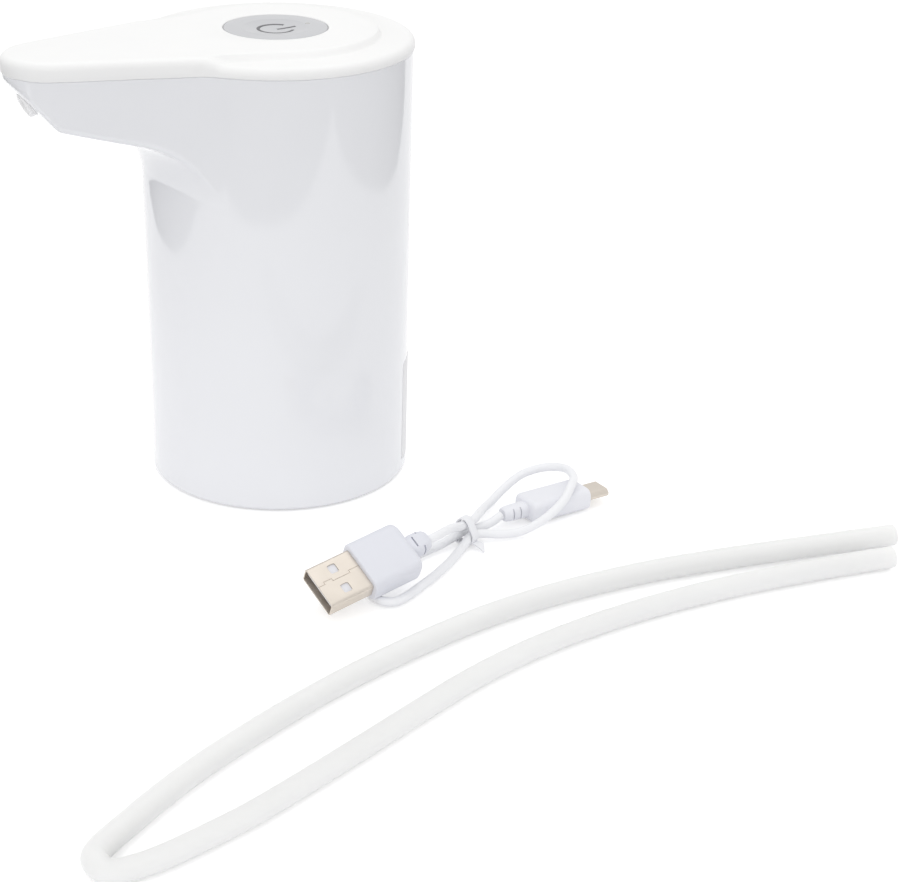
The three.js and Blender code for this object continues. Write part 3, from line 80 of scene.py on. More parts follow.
DISH_RADIUS = 8.6
DISH_DEPTH = 0.7
DISH_POWER = 2
BUTTON_GAP = 0.14
LENS_RADIUS = 0.7
LENS_OFFSET = 9.1
HOSE_RADIUS = 2.8
HOSE_BORE = 2.0
CABLE_RADIUS = 1.15

SEAM_RADIUS = FOOT_RADIUS + FLARE
BORE_RADIUS = FOOT_RADIUS - WALL
NOSE_REACH = NOSE_CENTRE + NOSE_RADIUS
HOUSING_TOP = SEAM_HEIGHT + SEAM_GAP / 2 - SEAM_SLACK
COVER_FOOT = SEAM_HEIGHT + SEAM_GAP / 2
COVER_TOP = SEAM_HEIGHT + PLATEAU_RISE
LEDGE_TOP = SEAM_HEIGHT + LEDGE_RISE
PLATEAU_RADIUS = SEAM_RADIUS - PLATEAU_INSET
BUTTON_TOP = COVER_TOP - BUTTON_RECESS
FRAME_SHIFT = (NOSE_REACH - SEAM_RADIUS) / 2

# Middle lines of the hose, which lies flat, and of the cable, in millimetres, in the part's frame
HOSE_PLAN = [
    (137.4, -121.1), (116.7, -117.1), (94.3, -112.9), (72, -109.6), (54.8, -108.6), (37.1, -108.9),
    (19, -111.1), (0.3, -115.2), (-18.2, -120.5), (-36.3, -126.9), (-51.4, -133.2), (-66.3, -140.2),
    (-78.1, -146.8), (-87.1, -152.5), (-92.2, -155.8), (-95.1, -157.8), (-97, -159.5), (-98, -161.2),
    (-98.1, -163), (-97.5, -164.6), (-96.3, -165.7), (-94.5, -166.3), (-91.2, -166.5), (-85.6, -166),
    (-76.5, -163.9), (-63.9, -160.4), (-50.1, -155.3), (-32.4, -148.3), (-13.5, -140.6), (6.2, -133.2),
    (25.2, -128.3), (43.6, -125.7), (61.7, -124.7), (85.3, -125.3), (108.4, -127.8), (128.9, -130.9),
]
HOSE_ROUTE = [(x, y, HOSE_RADIUS) for x, y in HOSE_PLAN]
CABLE_ROUTE = [
    (19.5, -83.5, 11), (20.7, -83.3, 11.2), (24, -81.9, 11.1), (28.4, -78.6, 10), (32.8, -74.5, 7.8),
    (35.8, -71.4, 5.8), (38.2, -69.3, 4.9), (42, -67.6, 4.8), (44.8, -65, 4.3), (47.4, -61.8, 3.2),
    (50.8, -58.2, 2.2), (55, -55, 1.9), (60, -52.4, 3.2), (67, -50.6, 5.4), (73, -52.4, 6.9),
    (76.4, -57.2, 7.9), (75.4, -63, 8.1), (71.2, -68.2, 7.9), (66.4, -71.8, 6.2), (60, -73.6, 3.6),
    (53, -73.6, 1.6), (47, -72.2, 1.5), (43, -70.9, 2), (39.5, -70.9, 2.2), (36.4, -73.2, 1.6),
    (29, -79.2, 1.3), (21.6, -84.3, 1.3), (15.9, -87.6, 1.3), (10, -90.8, 1.3), (6.4, -91.9, 1.3),
    (3.9, -90.8, 1.3), (2.6, -88.1, 1.3), (2.9, -84.5, 1.3), (5.5, -80.8, 1.3), (10.5, -77.6, 1.3),
    (17, -74.8, 1.3), (24, -72.3, 1.3), (30, -70.6, 1.3), (34.4, -69.3, 1.7), (37.8, -68.3, 2.2),
    (41.4, -66.9, 1.8), (45, -66.6, 1.6), (48.4, -66.2, 2), (51.6, -65.5, 3),
]

# Camera, from the fit of the photograph
LENS_LENGTH = 88
SENSOR_WIDTH = 36
CLIP_NEAR = 0.01
CLIP_FAR = 20
CAMERA_PLACE = Vector((-218.54, -508.44, 259.0)) * MM
CAMERA_RIGHT = Vector((0.8721, -0.4889, 0.0221))
CAMERA_UP = Vector((0.1843, 0.3699, 0.9106))


def add_camera():
    data = bpy.data.cameras.new("camera")
    data.sensor_width = SENSOR_WIDTH
    data.lens = LENS_LENGTH
    data.clip_start = CLIP_NEAR
    data.clip_end = CLIP_FAR
    camera = bpy.data.objects.new("camera", data)
    right = CAMERA_RIGHT.normalized()
    back = right.cross(CAMERA_UP).normalized()
    turn = Matrix((right, back.cross(right), back)).transposed().to_4x4()
    camera.matrix_world = Matrix.Translation(CAMERA_PLACE) @ turn
    scene.collection.objects.link(camera)
    scene.camera = camera


# Mesh code: points are in millimetres, and every mesh is written in metres
SHARP_ANGLE = radians(35)
WELD_REACH = 0.0004


def add_piece(name, points, faces, look, body="root", shift=0.0):
    """A mesh object that rides on a body, with its sharper edges kept sharp."""
    mesh = bpy.data.meshes.new(name)
    mesh.from_pydata([((p[0] + shift) * MM, p[1] * MM, p[2] * MM) for p in points], [], faces)
    mesh.validate()
    mesh.polygons.foreach_set("use_smooth", [True] * len(mesh.polygons))
    mesh.set_sharp_from_angle(angle=SHARP_ANGLE)
    piece = bpy.data.objects.new(name, mesh)
    scene.collection.objects.link(piece)
    if look:
        mesh.materials.append(materials[look])
    if body:
        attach(piece, body)
    return piece


def weld(points, faces):
    """The mesh with coincident points joined and collapsed faces left out."""
    keys = {}
    kept = []
    number = []
    for p in points:
        key = tuple(round(c / WELD_REACH) for c in p)
        if key not in keys:
            keys[key] = len(kept)
            kept.append(tuple(p))
        number.append(keys[key])
    sides = []
    for face in faces:
        corners = [number[i] for i in face]
        corners = [c for i, c in enumerate(corners) if c != corners[i - 1]]
        if len(set(corners)) > 2:
            sides.append(corners)
    return kept, sides


def skin(rings, closed=True):
    """Faces through rings of equal length; a closed skin joins the last ring to the first."""
    count = len(rings[0])
    points = [p for ring in rings for p in ring]
    faces = []
    for level in range(len(rings) if closed else len(rings) - 1):
        here = level * count
        beyond = ((level + 1) % len(rings)) * count
        for i in range(count):
            j = (i + 1) % count
            faces.append((here + i, here + j, beyond + j, beyond + i))
    return weld(points, faces)


def turned(profile, sides):
    """A profile of (radius, height) points turned about +Z."""
    turns = [TAU * k / sides for k in range(sides)]
    rings = [[(r * cos(a), r * sin(a), z) for a in turns] for r, z in profile]
    return skin(rings, closed=False)


def curved(a, b, c, t):
    """The point at a share of the way along the curve from a to c that leans towards b."""
    return (1 - t) ** 2 * a + 2 * t * (1 - t) * b + t**2 * c


def quarter(steps):
    """Shares of a rounding's radius that are still to go, first one way and then across it."""
    return [(1 - cos(a), 1 - sin(a)) for a in np.linspace(0, pi / 2, steps)]


def smooth_route(route, per_step):
    """Points along the centripetal Catmull-Rom curve through the route."""
    knots = [np.array(p, float) for p in route]
    knots = [2 * knots[0] - knots[1], *knots, 2 * knots[-1] - knots[-2]]
    line = []
    for a, b, c, d in zip(knots, knots[1:], knots[2:], knots[3:]):
        before, along, after = (sqrt(np.linalg.norm(q - p)) for p, q in ((a, b), (b, c), (c, d)))
        start = ((b - a) / before - (c - a) / (before + along) + (c - b) / along) * along
        end = ((c - b) / along - (d - b) / (along + after) + (d - c) / after) * along
        for k in range(per_step):
            t = k / per_step
            bend = 3 * (c - b) - 2 * start - end
            line.append(b + start * t + bend * t**2 + (2 * (b - c) + start + end) * t**3)
    line.append(knots[-2])
    return line


def tube(line, radius, sides, bore=0.0, press=None):
    """A tube along a line, with flat or open ends; a bore makes it hollow, a press flattens it."""
    line = np.array(line)
    tangents = np.gradient(line, axis=0)
    tangents /= np.linalg.norm(tangents, axis=1)[:, None]
    side = np.array((0.0, 0.0, 1.0))
    outer, inner = [], []
    for centre, tangent, share in zip(line, tangents, np.linspace(0, 1, len(line))):
        side = side - tangent * side.dot(tangent)
        side /= np.linalg.norm(side)
        across = np.cross(tangent, side)
        high, wide = press(share) if press else (1, 1)
        centre = centre - side * radius * (1 - high)
        ring = [
            side * high * cos(TAU * k / sides) + across * wide * sin(TAU * k / sides)
            for k in range(sides)
        ]
        outer.append([tuple(centre + radius * unit) for unit in ring])
        inner.append([tuple(centre + bore * unit) for unit in ring])
    rings = [*outer, *reversed(inner)] if bore else [inner[0], *outer, inner[-1]]
    return skin(rings, closed=bool(bore))


# Materials: each has a slow drift of colour, a finer one of roughness, and a fine surface grain
DRIFT_END_SHARES = (0.3, 0.7)
ROUGH_FINENESS = 6
LEAST_ROUGHNESS = 0.02
materials = {}


def set_values(node, **values):
    """Sets the inputs of a node by name, with an underscore for each space."""
    for name, value in values.items():
        node.inputs[name.replace("_", " ")].default_value = value


def noise_value(nodes, links, coordinates, scale, detail):
    noise = nodes.new("ShaderNodeTexNoise")
    set_values(noise, Scale=scale, Detail=detail)
    links.new(coordinates, noise.inputs["Vector"])
    return noise.outputs["Fac"]


def add_look(
    name, colour, roughness, metallic=0, spread=0.015, cloud=45, grain=900, grain_depth=0.02,
    rough_spread=0.05, **sockets
):
    """A material of the colour and roughness, and of further values of its shader."""
    material = bpy.data.materials.new(name)
    material.use_nodes = True
    nodes, links = material.node_tree.nodes, material.node_tree.links
    shader = nodes["Principled BSDF"]
    place = nodes.new("ShaderNodeTexCoord").outputs["Object"]

    ramp = nodes.new("ShaderNodeValToRGB")
    for end, share, change in zip(ramp.color_ramp.elements, DRIFT_END_SHARES, (-spread, spread)):
        end.position = share
        end.color = (*[min(1, c * (1 + change)) for c in colour], 1)
    links.new(noise_value(nodes, links, place, cloud, 2), ramp.inputs["Fac"])
    links.new(ramp.outputs["Color"], shader.inputs["Base Color"])

    rough = nodes.new("ShaderNodeMapRange")
    smoothest = max(LEAST_ROUGHNESS, roughness - rough_spread)
    set_values(rough, To_Min=smoothest, To_Max=min(1, roughness + rough_spread))
    links.new(noise_value(nodes, links, place, cloud * ROUGH_FINENESS, 4), rough.inputs["Value"])
    links.new(rough.outputs["Result"], shader.inputs["Roughness"])

    bump = nodes.new("ShaderNodeBump")
    set_values(bump, Strength=1, Distance=grain_depth * MM)
    links.new(noise_value(nodes, links, place, grain, 3), bump.inputs["Height"])
    links.new(bump.outputs["Normal"], shader.inputs["Normal"])

    set_values(shader, Metallic=metallic, **sockets)
    materials[name] = material


add_look(
    "white_gloss", (0.875, 0.882, 0.905), 0.07, spread=0.005, grain=160, grain_depth=0.0015,
    rough_spread=0.02, IOR=1.52
)
add_look("white_satin", (0.92, 0.92, 0.915), 0.45, spread=0.008, grain_depth=0.012)
add_look("button_grey", (0.535, 0.54, 0.56), 0.3, spread=0.012, grain_depth=0.01)
add_look("symbol_grey", (0.15, 0.15, 0.16), 0.5)
add_look("lens_clear", (0.5, 0.5, 0.48), 0.15)
add_look("frame_white", (0.72, 0.72, 0.72), 0.55)
add_look(
    "silicone_milky", (0.942, 0.943, 0.926), 0.3, cloud=30, grain=500, Subsurface_Weight=0.35,
    Subsurface_Scale=0.003, Subsurface_Radius=(1.0, 1.0, 0.95), IOR=1.41
)
add_look("nozzle_clear", (0.96, 0.96, 0.96), 0.4, spread=0.005, grain=500, grain_depth=0.001)
add_look("rubber_black", (0.03, 0.03, 0.032), 0.6, spread=0.1, grain_depth=0.03)
add_look("board_green", (0.02, 0.12, 0.05), 0.4, spread=0.15)
add_look("plastic_black", (0.02, 0.02, 0.022), 0.45, spread=0.1)
add_look("cell_blue", (0.05, 0.2, 0.52), 0.35, spread=0.05)
add_look("plastic_red", (0.45, 0.03, 0.025), 0.5, spread=0.05)
add_look("pump_grey", (0.6, 0.61, 0.62), 0.5, spread=0.02)
add_look("steel", (0.6, 0.6, 0.6), 0.3, metallic=1, grain=400, grain_depth=0.01)
add_look("dark_steel", (0.16, 0.165, 0.17), 0.4, metallic=1)
add_look("ferrite", (0.05, 0.05, 0.055), 0.8, spread=0.15, grain_depth=0.05)
add_look("copper", (0.7, 0.32, 0.14), 0.35, metallic=1, spread=0.08)
add_look("plug_gold", (0.66, 0.605, 0.54), 0.42, metallic=1, spread=0.03, grain=700, grain_depth=0.006)
add_look("insulator_white", (0.8, 0.8, 0.84), 0.5, spread=0.01)
add_look("strip_paper", (0.84, 0.84, 0.85), 0.5, spread=0.01, grain_depth=0.01)
add_look("tie_white", (0.86, 0.865, 0.89), 0.36, spread=0.012, grain_depth=0.01)
# The larger grip's white is the cable's white plastic set greyer: painted shade on the grip's tilted face.
add_look("grip_white", (0.75, 0.76, 0.815), 0.45, spread=0.012, grain_depth=0.012)
add_look("grip_pale", (0.84, 0.845, 0.885), 0.45, spread=0.012, grain_depth=0.012)
add_look("cable_white", (0.9, 0.905, 0.925), 0.42, spread=0.012, grain_depth=0.015)

# The look of each node of the model
NODE_LOOKS = {
    "white_gloss": ["main_housing", "base_plate"],
    "white_satin": ["top_cover", "plug_tongue", "status_led"],
    "button_grey": ["button_cap"],
    "lens_clear": ["led_lens"],
    "frame_white": ["inner_frame"],
    "silicone_milky": ["spout_nozzle", "outlet_tube", "inlet_tube", "hose"],
    "rubber_black": ["neck_gasket", "diaphragm"],
    "board_green": ["circuit_board"],
    "plastic_black": [
        "switch_body", "switch_plunger", "control_chip", "port_tongue", "motor_end_bell", "drive_wheel",
        "battery_lead_black", "motor_lead_black",
    ],
    "cell_blue": ["battery_cell"],
    "plastic_red": ["battery_lead_red", "motor_lead_red"],
    "pump_grey": ["pump_head", "valve_plate", "pump_case", "swash_plate"],
    "steel": [
        "motor_can", "motor_shaft", "swash_pin", "battery_tab_minus", "battery_tab_plus", "port_shell",
        "base_screw_1", "base_screw_2", "base_screw_3", "base_screw_4", "board_screw_left",
        "board_screw_right",
    ],
    "dark_steel": ["charge_coil"],
    "ferrite": ["motor_magnet_left", "motor_magnet_right"],
    "copper": ["armature"],
    "plug_gold": ["plug_shell", "micro_shell"],
    "cable_white": ["usb_cable", "plug_grip", "micro_grip", "cable_tie"],
}

add_camera()
for look, names in NODE_LOOKS.items():
    for node in names:
        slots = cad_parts[node].data.materials
        for i in range(len(slots)):
            slots[i] = materials[look]


def smoothstep(t):
    t = min(1, max(0, t))
    return t * t * (3 - 2 * t)


# Hose and cable; the hose is pressed a little flatter from its fold to near its second end
PRESS_START_SHARE = 0.5
PRESS_RISE_SHARE = 0.08
PRESS_END_SHARE = 0.97
PRESS_FALL_SHARE = 0.2
PRESS_DEPTH_SHARE = 0.22
PRESS_SPREAD_SHARE = 0.12
HOSE_SIDES = 28
CABLE_SIDES = 18


def hose_press(share):
    """How high and how wide the hose is at a share of its length, where 1 is round."""
    rise = smoothstep((share - PRESS_START_SHARE) / PRESS_RISE_SHARE)
    pressed = rise * smoothstep((PRESS_END_SHARE - share) / PRESS_FALL_SHARE)
    return 1 - PRESS_DEPTH_SHARE * pressed, 1 + PRESS_SPREAD_SHARE * pressed


hose_line = smooth_route(HOSE_ROUTE, 5)
hose_skin = tube(hose_line, HOSE_RADIUS, HOSE_SIDES, HOSE_BORE, hose_press)
hose = add_piece("loose_hose", *hose_skin, "silicone_milky")
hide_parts("hose")
cable_line = smooth_route(CABLE_ROUTE, 6)
cable_skin = tube(cable_line, CABLE_RADIUS, CABLE_SIDES)
cable = add_piece("charging_cable", *cable_skin, "cable_white")
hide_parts("usb_cable")


# Housing: the barrel with its spout
PLAN_STEPS = (14, 10, 12, 44)
SPOUT_STEPS = (22, 10, 8)
KNEE_SHARE = 0.75
TURN_SPREAD_SHARE = 0.45
TURN_UPRIGHT_SHARE = 0.75
INNER_ROUNDING = 0.4
TOP_SOFTNESS = 0.25


def arc_points(centre, radius, start, end, steps):
    return [
        (centre[0] + radius * cos(a), centre[1] + radius * sin(a))
        for a in np.linspace(start, end, steps + 1)
    ]


def plan_outline(inset, barrel_radius):
    """Outline of barrel and spout from above, set in from the outer wall, starting at the nose."""
    nose_steps, side_steps, blend_steps, barrel_steps = PLAN_STEPS
    barrel = barrel_radius - inset
    shoulder = SHOULDER_RADIUS - inset
    nose = NOSE_RADIUS - inset
    blend = BLEND_RADIUS + inset
    lean = asin((shoulder - nose) / NOSE_CENTRE)
    normal = Vector((-sin(lean), cos(lean)))
    along = Vector((-cos(lean), -sin(lean)))
    nose_end = NOSE_CENTRE * cos(lean)
    blend_end = sqrt((barrel + blend) ** 2 - (shoulder + blend) ** 2)
    centre = normal * (shoulder + blend) + along * blend_end
    blend_ends = (atan2(-normal.y, -normal.x), atan2(-centre.y, -centre.x))
    half = arc_points((-NOSE_CENTRE, 0), nose, pi, pi / 2 + lean, nose_steps)
    sides = np.linspace(nose_end, blend_end, side_steps + 1)[1:]
    half += [tuple(normal * shoulder + along * d) for d in sides]
    half += arc_points(centre, blend, *blend_ends, blend_steps)[1:]
    half += arc_points((0, 0), barrel, atan2(centre.y, centre.x), 0, barrel_steps)[1:]
    return [*[(x, -y) for x, y in half], *reversed(half[1:-1])]


def barrel_at(height):
    return FOOT_RADIUS + FLARE * height / SEAM_HEIGHT


def underside_height(reach, forward_share, inset):
    """Height of the spout's underside: fillet, then slope, then the chamfer under the nose."""
    arc_radius = FILLET_RADIUS + inset
    arc_centre = barrel_at(FILLET_FOOT) + FILLET_RADIUS
    arc_end = arc_centre - arc_radius * sin(UNDERSIDE_SLOPE)
    rise = sqrt(max(0, arc_radius**2 - (arc_centre - min(reach, arc_end)) ** 2))
    slope = FILLET_FOOT + rise + max(0, reach - arc_end) * tan(UNDERSIDE_SLOPE)
    foot = NOSE_LIP + inset / cos(CHAMFER_SLOPE)
    chamfer = foot - (NOSE_REACH - reach * forward_share) * tan(CHAMFER_SLOPE)
    return (slope + chamfer + hypot(slope - chamfer, CHAMFER_SOFTNESS)) / 2


def find_knee():
    """How far out the underside turns from its slope into the chamfer."""
    arc_end = barrel_at(FILLET_FOOT) + FILLET_RADIUS * (1 - sin(UNDERSIDE_SLOPE))
    arc_top = FILLET_FOOT + FILLET_RADIUS * cos(UNDERSIDE_SLOPE)
    gain = tan(CHAMFER_SLOPE) - tan(UNDERSIDE_SLOPE)
    gap = arc_top - arc_end * tan(UNDERSIDE_SLOPE) - NOSE_LIP + NOSE_REACH * tan(CHAMFER_SLOPE)
    return gap / gain


KNEE_REACH = find_knee()


def spout_line(corner, inset, rounding):
    """Points up one line of the spout, from the barrel out along the underside and round its edge."""
    slope_steps, chamfer_steps, turn_steps = SPOUT_STEPS
    reach = hypot(*corner)
    unit = (corner[0] / reach, corner[1] / reach)
    start = barrel_at(FILLET_FOOT) - inset
    spread = max(0, reach - start)

    def height(distance):
        return min(underside_height(distance, -unit[0], inset), SEAM_HEIGHT - SEAM_GAP)

    upright = SEAM_HEIGHT - SEAM_GAP / 2 - height(reach)
    turn = min(rounding, spread * TURN_SPREAD_SHARE, upright * TURN_UPRIGHT_SHARE)
    knee = min(KNEE_REACH, start + spread * KNEE_SHARE)
    end = reach - turn
    outs = [start + (knee - start) * (i / slope_steps) ** 2 for i in range(slope_steps + 1)]
    outs += list(np.linspace(knee, end, chamfer_steps + 1))[1:]
    line = [(unit[0] * d, unit[1] * d, height(d)) for d in outs]
    for k in range(1, turn_steps + 1):
        t = k / turn_steps
        d = curved(end, reach, reach, t)
        line.append((unit[0] * d, unit[1] * d, curved(height(end), height(reach), height(reach) + turn, t)))
    return line


def at_height(points, height):
    return [(p[0], p[1], height) for p in points]


def outward(points, reach):
    """Each point drawn out or in along its own direction, to the reach of that direction."""
    drawn = []
    for p in points:
        length = hypot(p[0], p[1])
        unit = (p[0] / length, p[1] / length)
        drawn.append((unit[0] * reach(unit), unit[1] * reach(unit)))
    return drawn


def round_ring(points, radius, height):
    return at_height(outward(points, lambda unit: radius), height)


def between(first, second, share):
    """The ring at a share of the way from the first to the second."""
    return [(a[0] + (b[0] - a[0]) * share, a[1] + (b[1] - a[1]) * share) for a, b in zip(first, second)]


def housing_face(inset, rounding, feet):
    """Rings up one face of the wall: the barrel's foot, the spout and the rim under the cover."""
    corners = plan_outline(inset, barrel_at(FILLET_FOOT))
    lines = [spout_line(corner, inset, rounding) for corner in corners]
    rings = [round_ring(corners, radius, height) for radius, height in feet]
    rings += [[line[level] for line in lines] for level in range(len(lines[0]))]
    top = plan_outline(inset, barrel_at(HOUSING_TOP))
    if inset == 0:
        soft = plan_outline(TOP_SOFTNESS, barrel_at(HOUSING_TOP))
        return [*rings, at_height(top, HOUSING_TOP - TOP_SOFTNESS), at_height(soft, HOUSING_TOP)]
    return [*rings, at_height(top, HOUSING_TOP)]


def carved(piece, tools, operation="DIFFERENCE"):
    """The piece with the tools' bodies taken away or joined on; the tools are removed."""
    for tool in tools:
        step = piece.modifiers.new("carve", "BOOLEAN")
        step.operation = operation
        step.solver = "EXACT"
        step.object = tool
    shaped = bpy.data.meshes.new_from_object(
        piece.evaluated_get(bpy.context.evaluated_depsgraph_get())
    )
    piece.modifiers.clear()
    old = piece.data
    piece.data = shaped
    shaped.set_sharp_from_angle(angle=SHARP_ANGLE)
    bpy.data.meshes.remove(old)
    for tool in tools:
        bpy.data.objects.remove(tool)
    return piece


def tool_body(points, faces):
    return add_piece("tool", points, faces, None, None)


def rounded_rectangle(width, height, radius, steps=6):
    x, y = width / 2 - radius, height / 2 - radius
    corners = [(x, y, 0), (-x, y, 1), (-x, -y, 2), (x, -y, 3)]
    return [
        point
        for cx, cy, quarter in corners
        for point in arc_points((cx, cy), radius, quarter * TAU / 4, (quarter + 1) * TAU / 4, steps)
    ]


def prism(outline, start, end):
    """A closed body between two heights over an outline."""
    count = len(outline)
    points = at_height(outline, start) + at_height(outline, end)
    faces = [(i, (i + 1) % count, count + (i + 1) % count, count + i) for i in range(count)]
    faces += [tuple(reversed(range(count))), tuple(range(count, 2 * count))]
    return points, faces


NOZZLE_RADIUS = 3.5
NOZZLE_GAP = 0.03
NOZZLE_BORE = 2
NOZZLE_TILT = radians(27)
NOZZLE_SETBACK = 4.4
NOZZLE_PROUD = 1.7
NOZZLE_LENGTH = 6.5
NOZZLE_BARB = 4.5
NOZZLE_LIP = 0.62
NOZZLE_LIP_INSET = 0.04
NOZZLE_NECK = 3.4
NOZZLE_TAPER = 0.06
NOZZLE_TAPER_END = 2
BARB_BORE = 1.5
BARB_TIP = 1.8
BARB_RADIUS = 2.2
BARB_TAPER = 1
HOLE_START = -7
HOLE_END = 4
ROUND_SIDES = 64
NOZZLE_FACE = Vector(
    (NOZZLE_SETBACK - NOSE_REACH, 0, NOSE_LIP - NOZZLE_SETBACK * tan(CHAMFER_SLOPE) - NOZZLE_PROUD)
)
NOZZLE_TURN = Matrix.Translation(NOZZLE_FACE) @ Matrix.Rotation(-pi / 2 - NOZZLE_TILT, 4, "Y")
PORT_HEIGHT = 108.3
PORT_HOLE = (8.3, 3.6, 0.9)
PORT_POCKET = (12, 7, 2.3)
PORT_POCKET_DEPTH = 1
PORT_OVERRUN = 3
FOOT_STEPS = 7


def moved(points, matrix):
    return [tuple(matrix @ Vector(p)) for p in points]


def section(x, width, height, radius, steps=5, lift=0.0):
    """A rounded rectangle across the X axis."""
    return [(x, y, z + lift) for y, z in rounded_rectangle(width, height, radius, steps)]


def lofted(rings):
    """A closed body through rings, with flat ends."""
    ends = [[tuple(np.mean(ring, axis=0))] * len(ring) for ring in (rings[0], rings[-1])]
    return skin([ends[0], *rings, ends[1]], closed=False)


def port_tool(start, end, size):
    return tool_body(*lofted([section(x, *size, lift=PORT_HEIGHT) for x in (start, end)]))


def add_housing():
    """The shell, opened for the nozzle under the nose and for the charging port at the back."""
    feet = [(FOOT_RADIUS - FOOT_ROUNDING * b, FOOT_ROUNDING * a) for a, b in quarter(FOOT_STEPS)]
    outer = housing_face(0, EDGE_ROUNDING, feet)
    inner = housing_face(WALL, INNER_ROUNDING, [(BORE_RADIUS, 0)])
    shell = add_piece("housing_shell", *skin([*outer, *reversed(inner)]), "white_gloss", None)
    reach = NOZZLE_RADIUS + NOZZLE_GAP
    hole_points, hole_faces = turned(
        [(0, HOLE_START), (reach, HOLE_START), (reach, HOLE_END), (0, HOLE_END)], ROUND_SIDES
    )
    nozzle_hole = tool_body(moved(hole_points, NOZZLE_TURN), hole_faces)
    outside = barrel_at(PORT_HEIGHT)
    port_hole = port_tool(BORE_RADIUS - PORT_OVERRUN, outside + PORT_OVERRUN, PORT_HOLE)
    port_pocket = port_tool(outside - PORT_POCKET_DEPTH, outside + PORT_OVERRUN, PORT_POCKET)
    return carved(shell, [nozzle_hole, port_hole, port_pocket])


def add_nozzle():
    """The outlet: a smooth cone with a rounded lip, and the barb that the inner tube grips."""
    inner = -NOZZLE_LENGTH - NOZZLE_BARB
    middle = NOZZLE_BORE + NOZZLE_LIP + NOZZLE_LIP_INSET
    profile = [
        (BARB_BORE, inner), (BARB_TIP, inner), (BARB_RADIUS, inner + BARB_TAPER),
        (BARB_RADIUS, -NOZZLE_LENGTH), (NOZZLE_RADIUS, -NOZZLE_LENGTH), (NOZZLE_RADIUS, -NOZZLE_NECK),
        (NOZZLE_RADIUS - NOZZLE_TAPER, -NOZZLE_TAPER_END),
    ]
    profile += [
        (middle + NOZZLE_LIP * cos(a), NOZZLE_LIP * sin(a) - NOZZLE_LIP)
        for a in np.linspace(0, pi, 9)
    ]
    profile.append((BARB_BORE, inner))
    points, faces = turned(profile, ROUND_SIDES)
    points = moved(points, NOZZLE_TURN)
    return add_piece("outlet_nozzle", points, faces, "nozzle_clear", shift=FRAME_SHIFT)


housing = add_housing()
housing.data.transform(Matrix.Translation((FRAME_SHIFT * MM, 0, 0)))
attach(housing, "root")
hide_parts("main_housing")
nozzle = add_nozzle()
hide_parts("spout_nozzle")


# Cover: a satin lid with a ledge round a raised teardrop
COVER_EASE = 0.3
COVER_EASE_STEP = 0.09
HOLE_RADIUS = BUTTON_RADIUS + BUTTON_GAP
HOLE_EASE = 0.3
RIM_SLACK = 0.01
NOSE_SLACK = 0.04
ROUNDING_STEPS = 10
STEP_STEPS = 9
PLATEAU_SHARES = (0.25, 0.5, 0.75)


def teardrop_reach(unit, shoulder, nose):
    """How far a teardrop of these two radii reaches from the barrel's axis in a direction."""
    lean = asin((shoulder - nose) / NOSE_CENTRE)
    forward, across = -unit[0], abs(unit[1])
    angle = atan2(across, forward)
    nose_angle = atan2(nose * cos(lean), NOSE_CENTRE + nose * sin(lean))
    if angle >= pi / 2 - lean:
        return shoulder
    if angle > nose_angle:
        return shoulder / (forward * sin(lean) + across * cos(lean))
    return NOSE_CENTRE * forward + sqrt(nose**2 - (NOSE_CENTRE * across) ** 2)


def cover_outline(inset):
    return plan_outline(inset, SEAM_RADIUS)


def lip_ring(inset):
    """The foot of the lip that plugs into the housing, kept clear of the spout's floor."""
    ring = []
    for p in cover_outline(inset):
        length = hypot(p[0], p[1])
        floor = underside_height(length, -p[0] / length, WALL) + FIT + SEAM_GAP / 2
        ring.append((p[0], p[1], min(COVER_FOOT - SEAM_GAP, max(COVER_FOOT - LIP_DEPTH, floor))))
    return ring


def cover_top(rim):
    """Rings from the foot over the rounded edge, the ledge and the plateau into the button's hole."""
    plateau_nose = NOSE_RADIUS - (COVER_ROUNDING - OVERHANG)
    foot = []
    for p in rim:
        length = hypot(*p)
        unit = (p[0] / length, p[1] / length)
        reach = min(teardrop_reach(unit, PLATEAU_RADIUS + STEP_WIDTH, plateau_nose), length - RIM_SLACK)
        foot.append((unit[0] * reach, unit[1] * reach))
    plateau = outward(rim, lambda unit: teardrop_reach(unit, PLATEAU_RADIUS, plateau_nose - NOSE_SLACK))
    widths = [dist(p, q) for p, q in zip(rim, foot)]
    ledge = [COVER_TOP + (LEDGE_TOP - COVER_TOP) * smoothstep(w / LEDGE_FADE) for w in widths]

    def raised(ring, height):
        return [(p[0], p[1], height(z)) for p, z in zip(ring, ledge)]

    rings = [
        at_height(cover_outline(-OVERHANG + COVER_EASE), COVER_FOOT),
        at_height(cover_outline(-OVERHANG + COVER_EASE_STEP), COVER_FOOT + COVER_EASE_STEP),
        at_height(cover_outline(-OVERHANG), COVER_FOOT + COVER_EASE),
    ]
    for a, b in quarter(ROUNDING_STEPS):
        ring = cover_outline(COVER_ROUNDING * a - OVERHANG)
        rings.append(raised(ring, lambda z, b=b: z - COVER_ROUNDING * b))
    rings.append(raised(foot, lambda z: z))
    for t in np.linspace(0, 1, STEP_STEPS)[1:]:
        ring = between(foot, plateau, t)
        rings.append(raised(ring, lambda z, t=t: z + (COVER_TOP - z) * smoothstep(t)))
    edge = round_ring(rim, HOLE_RADIUS + HOLE_EASE, COVER_TOP)
    rings += [at_height(between(plateau, edge, share), COVER_TOP) for share in PLATEAU_SHARES]
    rings += [round_ring(rim, HOLE_RADIUS + HOLE_EASE * b, COVER_TOP - HOLE_EASE * a) for a, b in quarter(4)]
    return rings


